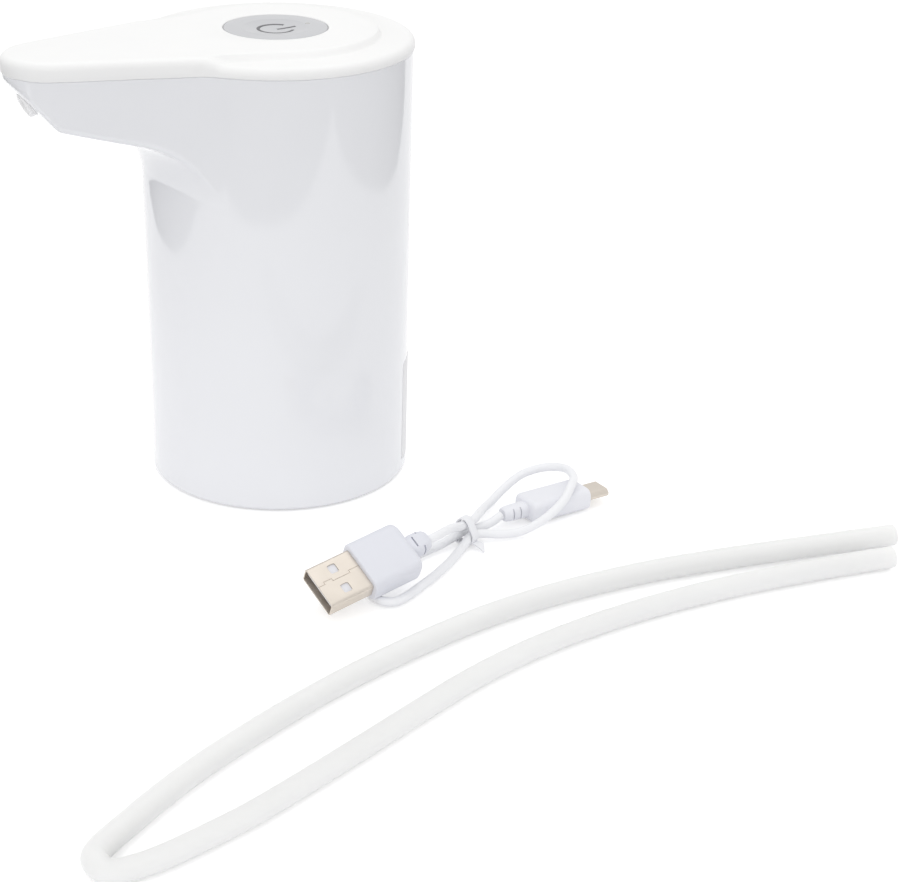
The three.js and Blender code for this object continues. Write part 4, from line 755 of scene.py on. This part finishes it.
def add_cover():
    rim = cover_outline(COVER_ROUNDING - OVERHANG)
    under = COVER_TOP - PLATEAU_THICKNESS
    lip_outer = WALL + FIT
    lip_inner = lip_outer + LIP_THICKNESS
    hollow_nose = NOSE_RADIUS - lip_inner - FIT
    hollow = outward(rim, lambda unit: teardrop_reach(unit, PLATEAU_RADIUS - LIP_THICKNESS, hollow_nose))
    rings = [
        *cover_top(rim),
        round_ring(rim, HOLE_RADIUS, under),
        at_height(hollow, under),
        at_height(cover_outline(lip_inner), LEDGE_TOP - LEDGE_THICKNESS),
        lip_ring(lip_inner),
        lip_ring(lip_outer),
        at_height(cover_outline(lip_outer), COVER_FOOT),
    ]
    return add_piece("cover_shell", *skin(rings), "white_satin", shift=FRAME_SHIFT)


cover = add_cover()
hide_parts("top_cover")


# Button with its dish, its printed symbol and its light window
BUTTON_EASE = 0.3
BUTTON_SIDES = 128
DISH_LIP = 1.6
DISH_EASE = 0.3
DISH_DROP = 0.01
SYMBOL_RADIUS = 4.5
SYMBOL_HALF = 0.42
SYMBOL_GAP = radians(38)
SYMBOL_BAR = (0.4, 5.6)
SYMBOL_PROUD = 0.04
SYMBOL_THICKNESS = 0.05
WINDOW_DEPTH = 1
WINDOW_SUNK = 0.02
WINDOW_DOME = 0.14
WINDOW_SIDES = 32


def dish_height(radius):
    return BUTTON_TOP - DISH_DEPTH * (1 - min(1, radius / DISH_RADIUS) ** DISH_POWER)


def add_button():
    inner = BUTTON_RADIUS - BUTTON_FLANGE
    under = BUTTON_TOP - BUTTON_THICKNESS
    flange_radius = BUTTON_RADIUS + BUTTON_FLANGE + FIT
    flange_top = COVER_TOP - PLATEAU_THICKNESS - FIT
    flange_foot = flange_top - FLANGE_THICKNESS
    profile = [
        (0, under), (inner, under), (inner, flange_foot), (flange_radius, flange_foot),
        (flange_radius, flange_top), (BUTTON_RADIUS, flange_top),
    ]
    profile += [(BUTTON_RADIUS - BUTTON_EASE * a, BUTTON_TOP - BUTTON_EASE * b) for a, b in quarter(6)]
    profile += [(DISH_RADIUS + DISH_LIP, BUTTON_TOP), (DISH_RADIUS + DISH_EASE, BUTTON_TOP - DISH_DROP)]
    profile += [(r, dish_height(r)) for r in DISH_RADIUS * np.linspace(1, 0, 24)]
    disc = turned(profile, BUTTON_SIDES)
    return add_piece("button_disc", *disc, "button_grey", "button", FRAME_SHIFT)


def add_symbol():
    """The usual on/off sign: an open ring and a bar, printed a hair proud of the dish."""
    rims = (SYMBOL_RADIUS - SYMBOL_HALF, SYMBOL_RADIUS + SYMBOL_HALF)
    turns = np.linspace(SYMBOL_GAP, TAU - SYMBOL_GAP, 61)
    ring = [(r * cos(a), r * sin(a), dish_height(r)) for a in turns for r in rims]
    bar = [(x, y, dish_height(x)) for x in np.linspace(*SYMBOL_BAR, 14) for y in (SYMBOL_HALF, -SYMBOL_HALF)]
    points, faces = [], []
    for strip in (ring, bar):
        start = len(points)
        points += [(x, y, z + SYMBOL_PROUD) for x, y, z in strip]
        faces += [(i, i + 1, i + 3, i + 2) for i in range(start, len(points) - 2, 2)]
    sign = add_piece("power_sign", points, faces, "symbol_grey", "button", FRAME_SHIFT)
    body = sign.modifiers.new("body", "SOLIDIFY")
    body.thickness = SYMBOL_THICKNESS * MM
    return sign


button = add_button()
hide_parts("button_cap")
sign = add_symbol()


def add_window():
    """The small domed light window in the button's ring."""
    foot = BUTTON_TOP - WINDOW_DEPTH
    edge = BUTTON_TOP - WINDOW_SUNK
    profile = [(0, foot), (LENS_RADIUS, foot)]
    profile += [
        (LENS_RADIUS * cos(a), edge + WINDOW_DOME * sin(a))
        for a in np.linspace(0, pi / 2, 6)
    ]
    dome = turned(profile, WINDOW_SIDES)
    return add_piece("light_window", *dome, "lens_clear", "button", FRAME_SHIFT + LENS_OFFSET)


window = add_window()
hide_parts("led_lens")


# The bare strip where the barrel carries a label
LABEL_START = radians(-43)
LABEL_TURN = radians(40)
LABEL_FOOT = 3
LABEL_HEIGHT = 29
LABEL_THICKNESS = 0.1
LABEL_ROUNDING = 1.5
LABEL_SUNK = 0.05
LABEL_STEP = 1.2
LABEL_WALL_SHARE = 0.6
LABEL_TOP_SHARES = (0.995, *np.linspace(0.9, 0, 10))


def stepped(outline, longest):
    """The closed outline with points added until no side is longer than the given length."""
    points = []
    for a, b in zip(outline, [*outline[1:], outline[0]]):
        count = max(1, ceil(dist(a, b) / longest))
        points += [tuple(np.array(a) + (np.array(b) - np.array(a)) * k / count) for k in range(count)]
    return points


def add_label():
    sheet = rounded_rectangle(LABEL_TURN * FOOT_RADIUS, LABEL_HEIGHT, LABEL_ROUNDING)
    corners = stepped(sheet, LABEL_STEP)

    def ring(shrink, proud):
        points = []
        for across, up in corners:
            z = LABEL_FOOT + LABEL_HEIGHT / 2 + up * shrink
            turn = LABEL_START + LABEL_TURN / 2 + across * shrink / FOOT_RADIUS
            reach = barrel_at(z) + proud
            points.append((reach * cos(turn), reach * sin(turn), z))
        return points

    rings = [ring(1, -LABEL_SUNK), ring(1, LABEL_THICKNESS * LABEL_WALL_SHARE)]
    rings += [ring(share, LABEL_THICKNESS) for share in LABEL_TOP_SHARES]
    return add_piece("bare_strip", *skin(rings, closed=False), "strip_paper", shift=FRAME_SHIFT)


label = add_label()


# Plugs, made along +X from the mouth and then laid at their places
PLUG_SHELL = (12, 4.5, 12)
PLUG_SHEET = 0.35
PLUG_CORNER = 0.75
MOUTH_EASE = 0.15
MOUTH_FLARE = 0.1
SHELL_EASE = 0.12
SHELL_OVERLAP = 0.25
PLUG_HOLE = (2.3, 2.5, 0.5)
PLUG_HOLE_BACK = 6.1
PLUG_HOLE_ACROSS = 3
SEAM_RUNS = [(-0.2, 1.9, 0), (1.9, 4.2, 0.7), (4.2, 9.2, 0), (9.2, 12.4, 0.7)]
SEAM_CUT = 0.14
INSULATOR_SLACK = 0.05
INSULATOR_FOOT = 0.1
INSULATOR_CORNER = 0.3
# Place behind the mouth, and easing; for a contact its width and its height above the middle
INSULATOR_RUN = ((0.7, 0.2), (0.9, 0), (11.6, 0))
CONTACT_PLACES = (-3.5, -1, 1, 3.5)
CONTACT_RUN = ((1.3, 0.7, 0.16), (1.6, 1, 0.06), (8.4, 1, 0.06), (8.8, 0.8, 0.16))
CONTACT_HEIGHT = 0.24
CONTACT_CORNER = 0.1
GRIP_EDGE = 2
GRIP_FRONT = 0.45
GRIP_HEIGHT_SHARE = 1.3
EDGE_SLACK = 0.1
RELIEF_EDGE = 1.6
USB_GRIP = (14.6, 7.2, 14.6)
USB_GRIP_REAR = 1.8
# Sections of a relief: place behind the grip, width and height; slots: their ends along, across and up
USB_RELIEF = [
    (-0.6, 5.3, 4.2), (0.6, 5.3, 4.2), (1.5, 5.8, 4.5), (3.6, 5.8, 4.5), (5.2, 5.2, 4.0),
    (5.8, 4.6, 3.6), (6, 4.0, 3.2),
]
USB_SLOTS = [
    (1.5, 1.95, -1.5, 1.5, 1.5, 3), (1.5, 1.95, -1.5, 1.5, -3, -1.5),
    (3.2, 3.65, 1.9, 4, -3, 3), (3.2, 3.65, -4, -1.9, -3, 3),
]
CROSSING_BACK = 15.6
PLUG_TURN = radians(7)
PLUG_ROLL = radians(30)
PLUG_PITCH = radians(9)
SMALL_SHELL = (6.9, 1.85, 6.7)
SMALL_SHEET = 0.25
SMALL_SHOULDER = 2.55
SMALL_SHOULDER_SHARE = 0.7
SMALL_CORNER = 0.28
SMALL_CORNER_SHARES = (0, 0.33, 0.67, 1)
SMALL_EASE = 0.1
SMALL_FLARE = 0.06
SMALL_TONGUE = (3.9, 0.62)
TONGUE_CORNER = 0.15
TONGUE_DROP = 0.15
TONGUE_BACK = 0.9
TONGUE_EASE = 0.2
SMALL_GRIP = (10, 6, 18.5)
SMALL_GRIP_REAR = 1.5
SMALL_RELIEF = [(-0.6, 4.6, 4.0), (1.2, 4.6, 4.0), (5.6, 4.4, 3.8), (6.7, 4.0, 3.5), (7, 3.4, 3.0)]
SMALL_SLOTS = [
    (2.2, 2.6, -4, -1.4, -3, 3), (4.4, 4.8, -4, -1.4, -3, 3),
    (2.2, 2.6, 1.4, 4, -3, 3), (4.4, 4.8, 1.4, 4, -3, 3),
]
SMALL_TURN = radians(184.1)


def plug_rest():
    """Height of the larger plug's mouth: its grip's edge lies on the run of cable that passes below."""
    across = (USB_GRIP[0] / 2 - GRIP_EDGE) * sin(PLUG_ROLL)
    upright = (USB_GRIP[1] / 2 - GRIP_EDGE) * cos(PLUG_ROLL)
    drop = (across + upright) * cos(PLUG_PITCH) + GRIP_EDGE
    return 2 * CABLE_RADIUS + FIT + drop - CROSSING_BACK * sin(PLUG_PITCH)


USB_PLACE = (
    Matrix.Translation((-12.8, -87.4, plug_rest()))
    @ Matrix.Rotation(PLUG_TURN, 4, "Z")
    @ Matrix.Rotation(-PLUG_PITCH, 4, "Y")
    @ Matrix.Rotation(PLUG_ROLL, 4, "X")
)
SMALL_PLACE = Matrix.Translation((84.4, -63.2, SMALL_GRIP[1] / 2)) @ Matrix.Rotation(SMALL_TURN, 4, "Z")


def slab(x0, x1, y0, y1, z0, z1):
    """A cutting tool with square corners."""
    return tool_body(*prism([(x0, y0), (x1, y0), (x1, y1), (x0, y1)], z0, z1))


def laid(piece, place):
    piece.data.transform(Matrix.Scale(MM, 4) @ place @ Matrix.Scale(1 / MM, 4))
    return piece


def grip_rings(width, height, length, rear):
    """Sections of a moulded grip with an eased front edge and rounder rear corners."""
    rings = []
    for a, b in quarter(5):
        ease = GRIP_FRONT * b
        rings.append(section(GRIP_FRONT * a, width - 2 * ease, height - 2 * ease, GRIP_EDGE - ease))
    for a, b in quarter(9):
        ease = rear * a
        tall = height - GRIP_HEIGHT_SHARE * ease
        edge = min(GRIP_EDGE, tall / 2 - EDGE_SLACK)
        rings.append(section(length - rear * b, width - 2 * ease, tall, edge))
    return rings


def add_shell(name, ring, length, sheet, ease, flare):
    """A plug's shell: open at its mouth, with a room in it and a closed back."""
    back = length + SHELL_OVERLAP
    floor = length - sheet
    count = len(ring(0, 0))
    rings = [
        ring(0, ease), ring(SHELL_EASE, 0), ring(back, 0), [(back, 0, 0)] * count,
        [(floor, 0, 0)] * count, ring(floor, sheet), ring(SHELL_EASE, sheet), ring(0, sheet - flare),
    ]
    return add_piece(name, *skin(rings), "plug_gold", None)


def add_usb_shell():
    width, height, length = PLUG_SHELL

    def ring(x, inset):
        return section(x, width - 2 * inset, height - 2 * inset, PLUG_CORNER - inset)

    shell = add_shell("usb_shell", ring, length, PLUG_SHEET, MOUTH_EASE, MOUTH_FLARE)
    tools = []
    for side in (-1, 1):
        hole = rounded_rectangle(*PLUG_HOLE)
        outline = [(x + PLUG_HOLE_BACK, y + side * PLUG_HOLE_ACROSS) for x, y in hole]
        tools.append(tool_body(*prism(outline, -height, height)))
    top = height / 2 - SEAM_CUT
    for start, end, across in SEAM_RUNS:
        tools.append(slab(start, end, across, across + SEAM_CUT, top, height))
    for (_, x, y), (_, _, beyond) in zip(SEAM_RUNS, SEAM_RUNS[1:]):
        low, high = sorted((y, beyond))
        tools.append(slab(x - SEAM_CUT / 2, x + SEAM_CUT / 2, low, high + SEAM_CUT, top, height))
    return laid(carved(shell, tools), USB_PLACE)


def add_usb_insides():
    """The white insulator against the shell's seamed side, and its four gold contacts."""
    width = PLUG_SHELL[0] - 2 * PLUG_SHEET - 2 * INSULATOR_SLACK
    top = PLUG_SHELL[1] / 2 - PLUG_SHEET - INSULATOR_SLACK
    height = top - INSULATOR_FOOT
    middle = (top + INSULATOR_FOOT) / 2
    rings = [
        section(x, width - 2 * ease, height - 2 * ease, INSULATOR_CORNER, lift=middle)
        for x, ease in INSULATOR_RUN
    ]
    insulator = add_piece("usb_insulator", *lofted(rings), "insulator_white", None)
    strip, sides = lofted([
        section(x, wide, CONTACT_HEIGHT, CONTACT_CORNER, 2, lift=drop) for x, wide, drop in CONTACT_RUN
    ])
    points, faces = [], []
    for across in CONTACT_PLACES:
        faces += [tuple(i + len(points) for i in side) for side in sides]
        points += [(x, y + across, z) for x, y, z in strip]
    contacts = add_piece("usb_contacts", points, faces, "plug_gold", None)
    return laid(insulator, USB_PLACE), laid(contacts, USB_PLACE)


def add_grip(name, look, place, shell, size, rear, relief, slots):
    """A grip behind a plug's shell, with its strain relief and the slots in that."""
    grip = add_piece(name, *lofted(grip_rings(*size, rear)), look, None)
    end = size[2]
    rings = [
        section(end + x, width, height, min(RELIEF_EDGE, height / 2 - EDGE_SLACK))
        for x, width, height in relief
    ]
    carved(grip, [tool_body(*lofted(rings))], "UNION")
    tools = [slab(end + x0, end + x1, *sides) for x0, x1, *sides in slots]
    return laid(carved(grip, tools), place @ Matrix.Translation((shell[2] + FIT, 0, 0)))


def small_outline(inset):
    """Across the small plug's shell: a flat foot, short upright sides and sloping shoulders."""
    half = SMALL_SHELL[0] / 2 - inset
    high = SMALL_SHELL[1] / 2 - inset
    shoulder = SMALL_SHOULDER - inset * SMALL_SHOULDER_SHARE
    corners = [(half, -high), (half, 0), (shoulder, high), (-shoulder, high), (-half, 0), (-half, -high)]
    points = []
    for before, here, after in zip([corners[-1], *corners], corners, [*corners[1:], corners[0]]):
        here = Vector(here)
        start = here + (Vector(before) - here).normalized() * SMALL_CORNER
        end = here + (Vector(after) - here).normalized() * SMALL_CORNER
        points += [tuple(curved(start, here, end, share)) for share in SMALL_CORNER_SHARES]
    return points


def add_small_shell():
    """The small plug's folded shell, and the black tongue inside it."""
    length = SMALL_SHELL[2]

    def ring(x, inset):
        return [(x, y, z) for y, z in small_outline(inset)]

    shell = add_shell("small_shell", ring, length, SMALL_SHEET, SMALL_EASE, SMALL_FLARE)
    width, height = SMALL_TONGUE
    tip, end = TONGUE_BACK, length - SMALL_SHEET - INSULATOR_SLACK
    rings = [
        section(x, width - ease, height - ease, TONGUE_CORNER, 3, lift=-TONGUE_DROP)
        for x, ease in ((tip, TONGUE_EASE), (tip + TONGUE_EASE, 0), (end, 0))
    ]
    tongue = add_piece("small_tongue", *lofted(rings), "plastic_black", None)
    return laid(shell, SMALL_PLACE), laid(tongue, SMALL_PLACE)


usb_shell = add_usb_shell()
usb_grip = add_grip(
    "usb_grip", "grip_white", USB_PLACE, PLUG_SHELL, USB_GRIP, USB_GRIP_REAR, USB_RELIEF, USB_SLOTS
)
small_grip = add_grip(
    "small_grip", "grip_pale", SMALL_PLACE, SMALL_SHELL, SMALL_GRIP, SMALL_GRIP_REAR, SMALL_RELIEF,
    SMALL_SLOTS,
)
usb_insulator, usb_contacts = add_usb_insides()
small_shell, small_tongue = add_small_shell()
for piece, slot, node in (
    (usb_shell, "plug_gold", "plug_shell"),
    (usb_grip, "cable_white", "plug_grip"),
    (small_grip, "cable_white", "micro_grip"),
    (usb_insulator, "white_satin", "plug_tongue"),
    (usb_contacts, "plug_gold", None),
    (small_shell, "plug_gold", "micro_shell"),
    (small_tongue, "plastic_black", None),
):
    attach(piece, "root")
    if node:
        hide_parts(node)


# The flat wire tie round three runs of the cable
TIE_PLACE = (38.4, -69.6, 0.5)
TIE_TURN = radians(25)
TIE_WIDTH = 2.6
TIE_THICKNESS = 0.45
TIE_EDGE_SHARE = 0.45
TIE_SLANT_SHARE = 0.12
TIE_SLANT_BACK = 0.3
TAIL_START = (0.9, -0.2, 0.25)
TAIL_RUN = 5.6
TAIL_SWING = 2.6
TAIL_RISE = 0.5
TAIL_AXIS = (0.25, 0.97, 0)
TAIL_TILT_SHARE = 0.1
TAIL_TAPER_SHARES = (1.9, 1.1)


def ribbon(path, outs, along, widths):
    """A flat strip along a path: its width lies along the axis, its thickness outward."""
    axis = Vector(along)
    rings = []
    for centre, out, width in zip(path, outs, widths):
        outline = rounded_rectangle(width, TIE_THICKNESS, TIE_THICKNESS * TIE_EDGE_SHARE, 3)
        rings.append([tuple(Vector(centre) + axis * a + Vector(out) * b) for a, b in outline])
    return rings


def add_tie():
    """A band round two runs side by side with one on top, and its tapered tail."""
    radius = CABLE_RADIUS + 2 * FIT + TIE_THICKNESS / 2
    spread = CABLE_RADIUS + FIT
    foot = CABLE_RADIUS + 2 * FIT
    centres = [(-spread, foot, 150), (spread, foot, 270), (-FIT, foot + 2 * CABLE_RADIUS + FIT, 30)]
    path, outs = [], []
    for x, z, start in centres:
        for a in np.radians(np.linspace(start, start + 120, 9)):
            up = z + radius * sin(a)
            outs.append((cos(a), 0, sin(a)))
            path.append((x + radius * cos(a), TIE_SLANT_SHARE * up - TIE_SLANT_BACK, up))
    band_rings = ribbon(path, outs, (0, 1, 0), [TIE_WIDTH] * len(path))
    band = add_piece("wire_tie", *skin(band_rings), "tie_white", None)
    steps = np.linspace(0, 1, 12)
    x, y, z = TAIL_START
    tail = [
        (spread + x + TAIL_RUN * t, y - TAIL_SWING * t * t, z + TAIL_RISE * sin(pi * t))
        for t in steps
    ]
    lean = [(-TAIL_AXIS[0] * sin(3 * t), TAIL_TILT_SHARE, 1) for t in steps]
    steep, end = TAIL_TAPER_SHARES
    widths = [TIE_WIDTH * min(1, steep * (end - t)) for t in steps]
    carved(band, [tool_body(*lofted(ribbon(tail, lean, TAIL_AXIS, widths)))], "UNION")
    place = Matrix.Translation(TIE_PLACE) @ Matrix.Rotation(TIE_TURN - pi / 2, 4, "Z")
    return laid(band, place)


tie = add_tie()
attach(tie, "root")
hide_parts("cable_tie")


# Dark cards that lie round the white board, outside the picture: the barrel mirrors their edges.
# The inner edge of each follows the reflections in the photograph, in millimetres in the frame.
LEFT_CARD = [
    (-78, 265), (-82, 232), (-109, 173), (-135, 131), (-153, 102), (-178, 66), (-199, 45), (-231, 20),
    (-256, -3), (-273, -28), (-640, -66), (-640, 400), (-190, 640),
]
FRONT_CARD = [
    (-315, -84), (-280, -103), (-244, -126), (-206, -150), (-181, -168), (-138, -205), (-84, -239),
    (-32, -270), (22, -301), (70, -324), (112, -347), (147, -364), (158, -392), (163, -358),
    (167, -325), (187, -284), (215, -235), (243, -188), (268, -138), (296, -60), (326, 20), (369, 82),
    (416, 120), (640, 185), (640, -640), (-640, -640), (-640, -171),
]

# The rays that see plain white, first on the floor and all round, then on the cards
WHITE_RAYS = ("Is Camera Ray", "Is Glossy Ray", "Is Transmission Ray")
CARD_WHITE_RAYS = ("Is Camera Ray", "Is Transmission Ray")
PLAIN_WHITE = (0.8, 0.8, 0.8)
SEEN_GLOW = 0.4
FLOOR_COLOUR = (0.92, 0.92, 0.94)
FLOOR_HALF = 4000
FLOOR_DROP = 0.4
CARD_COLOUR = (0.12, 0.12, 0.12)
CARD_DROP = 0.2
FILL_STRENGTH = 0.85
# Name, place and size in metres, and power in watts
LAMPS = [("key", (-0.75, -1.0, 0.75), 0.9, 2.6), ("top", (0.1, 0.2, 1.4), 1.2, 3.0)]
LAMP_TARGET = Vector((0, 0, 0.05))


def any_of(kinds, nodes, links):
    """One for rays of these kinds, and zero for the rest."""
    rays = nodes.new("ShaderNodeLightPath").outputs
    either = rays[kinds[0]]
    for kind in kinds[1:]:
        larger = nodes.new("ShaderNodeMath")
        larger.operation = "MAXIMUM"
        links.new(either, larger.inputs[0])
        links.new(rays[kind], larger.inputs[1])
        either = larger.outputs[0]
    return either


def show(tree, kinds, seen, other, output):
    """The output gets one shader for rays of these kinds, and the other one for the rest."""
    nodes, links = tree.nodes, tree.links
    mix = nodes.new("ShaderNodeMixShader")
    links.new(any_of(kinds, nodes, links), mix.inputs["Fac"])
    links.new(other.outputs[0], mix.inputs[1])
    links.new(seen.outputs[0], mix.inputs[2])
    links.new(mix.outputs[0], nodes.new(output).inputs["Surface"])


def floor_look(name, colour, white_rays):
    """Plain white, with shadows, to the rays named; to other rays a matt sheet of the colour."""
    material = bpy.data.materials.new(name)
    material.use_nodes = True
    nodes, links = material.node_tree.nodes, material.node_tree.links
    nodes.clear()
    white, matt = (nodes.new("ShaderNodeBsdfDiffuse") for _ in range(2))
    set_values(white, Color=(*PLAIN_WHITE, 1))
    set_values(matt, Color=(*colour, 1))
    glow = nodes.new("ShaderNodeEmission")
    set_values(glow, Strength=SEEN_GLOW)
    shown = nodes.new("ShaderNodeAddShader")
    links.new(white.outputs[0], shown.inputs[0])
    links.new(glow.outputs[0], shown.inputs[1])
    show(material.node_tree, white_rays, shown, matt, "ShaderNodeOutputMaterial")
    materials[name] = material


def add_sheet(name, corners, drop, look):
    """A flat sheet of the stage, a little below the ground that the part stands on."""
    sheet = add_piece(name, at_height(corners, -drop), [tuple(range(len(corners)))], look, None)


def set_stage():
    """A wide white floor with dark cards round the picture, a white surrounding and soft lamps."""
    floor_look("floor_white", FLOOR_COLOUR, WHITE_RAYS)
    floor_look("card_dark", CARD_COLOUR, CARD_WHITE_RAYS)
    corners = [(x * FLOOR_HALF, y * FLOOR_HALF) for x, y in ((-1, -1), (1, -1), (1, 1), (-1, 1))]
    add_sheet("floor", corners, FLOOR_DROP, "floor_white")
    add_sheet("left_card", LEFT_CARD, CARD_DROP, "card_dark")
    add_sheet("front_card", FRONT_CARD, CARD_DROP, "card_dark")

    world = bpy.data.worlds.new("studio")
    scene.world = world
    world.use_nodes = True
    nodes = world.node_tree.nodes
    nodes.clear()
    shown, fill = (nodes.new("ShaderNodeBackground") for _ in range(2))
    set_values(shown, Color=(1, 1, 1, 1), Strength=1)
    set_values(fill, Color=(1, 1, 1, 1), Strength=FILL_STRENGTH)
    show(world.node_tree, WHITE_RAYS, shown, fill, "ShaderNodeOutputWorld")

    for name, place, size, power in LAMPS:
        data = bpy.data.lights.new(name, "AREA")
        data.shape = "SQUARE"
        data.size = size
        data.energy = power
        lamp = bpy.data.objects.new(name, data)
        lamp.location = place
        lamp.rotation_mode = "QUATERNION"
        lamp.rotation_quaternion = (LAMP_TARGET - Vector(place)).to_track_quat("-Z", "Y")
        scene.collection.objects.link(lamp)


set_stage()
scene.view_settings.view_transform = "Standard"
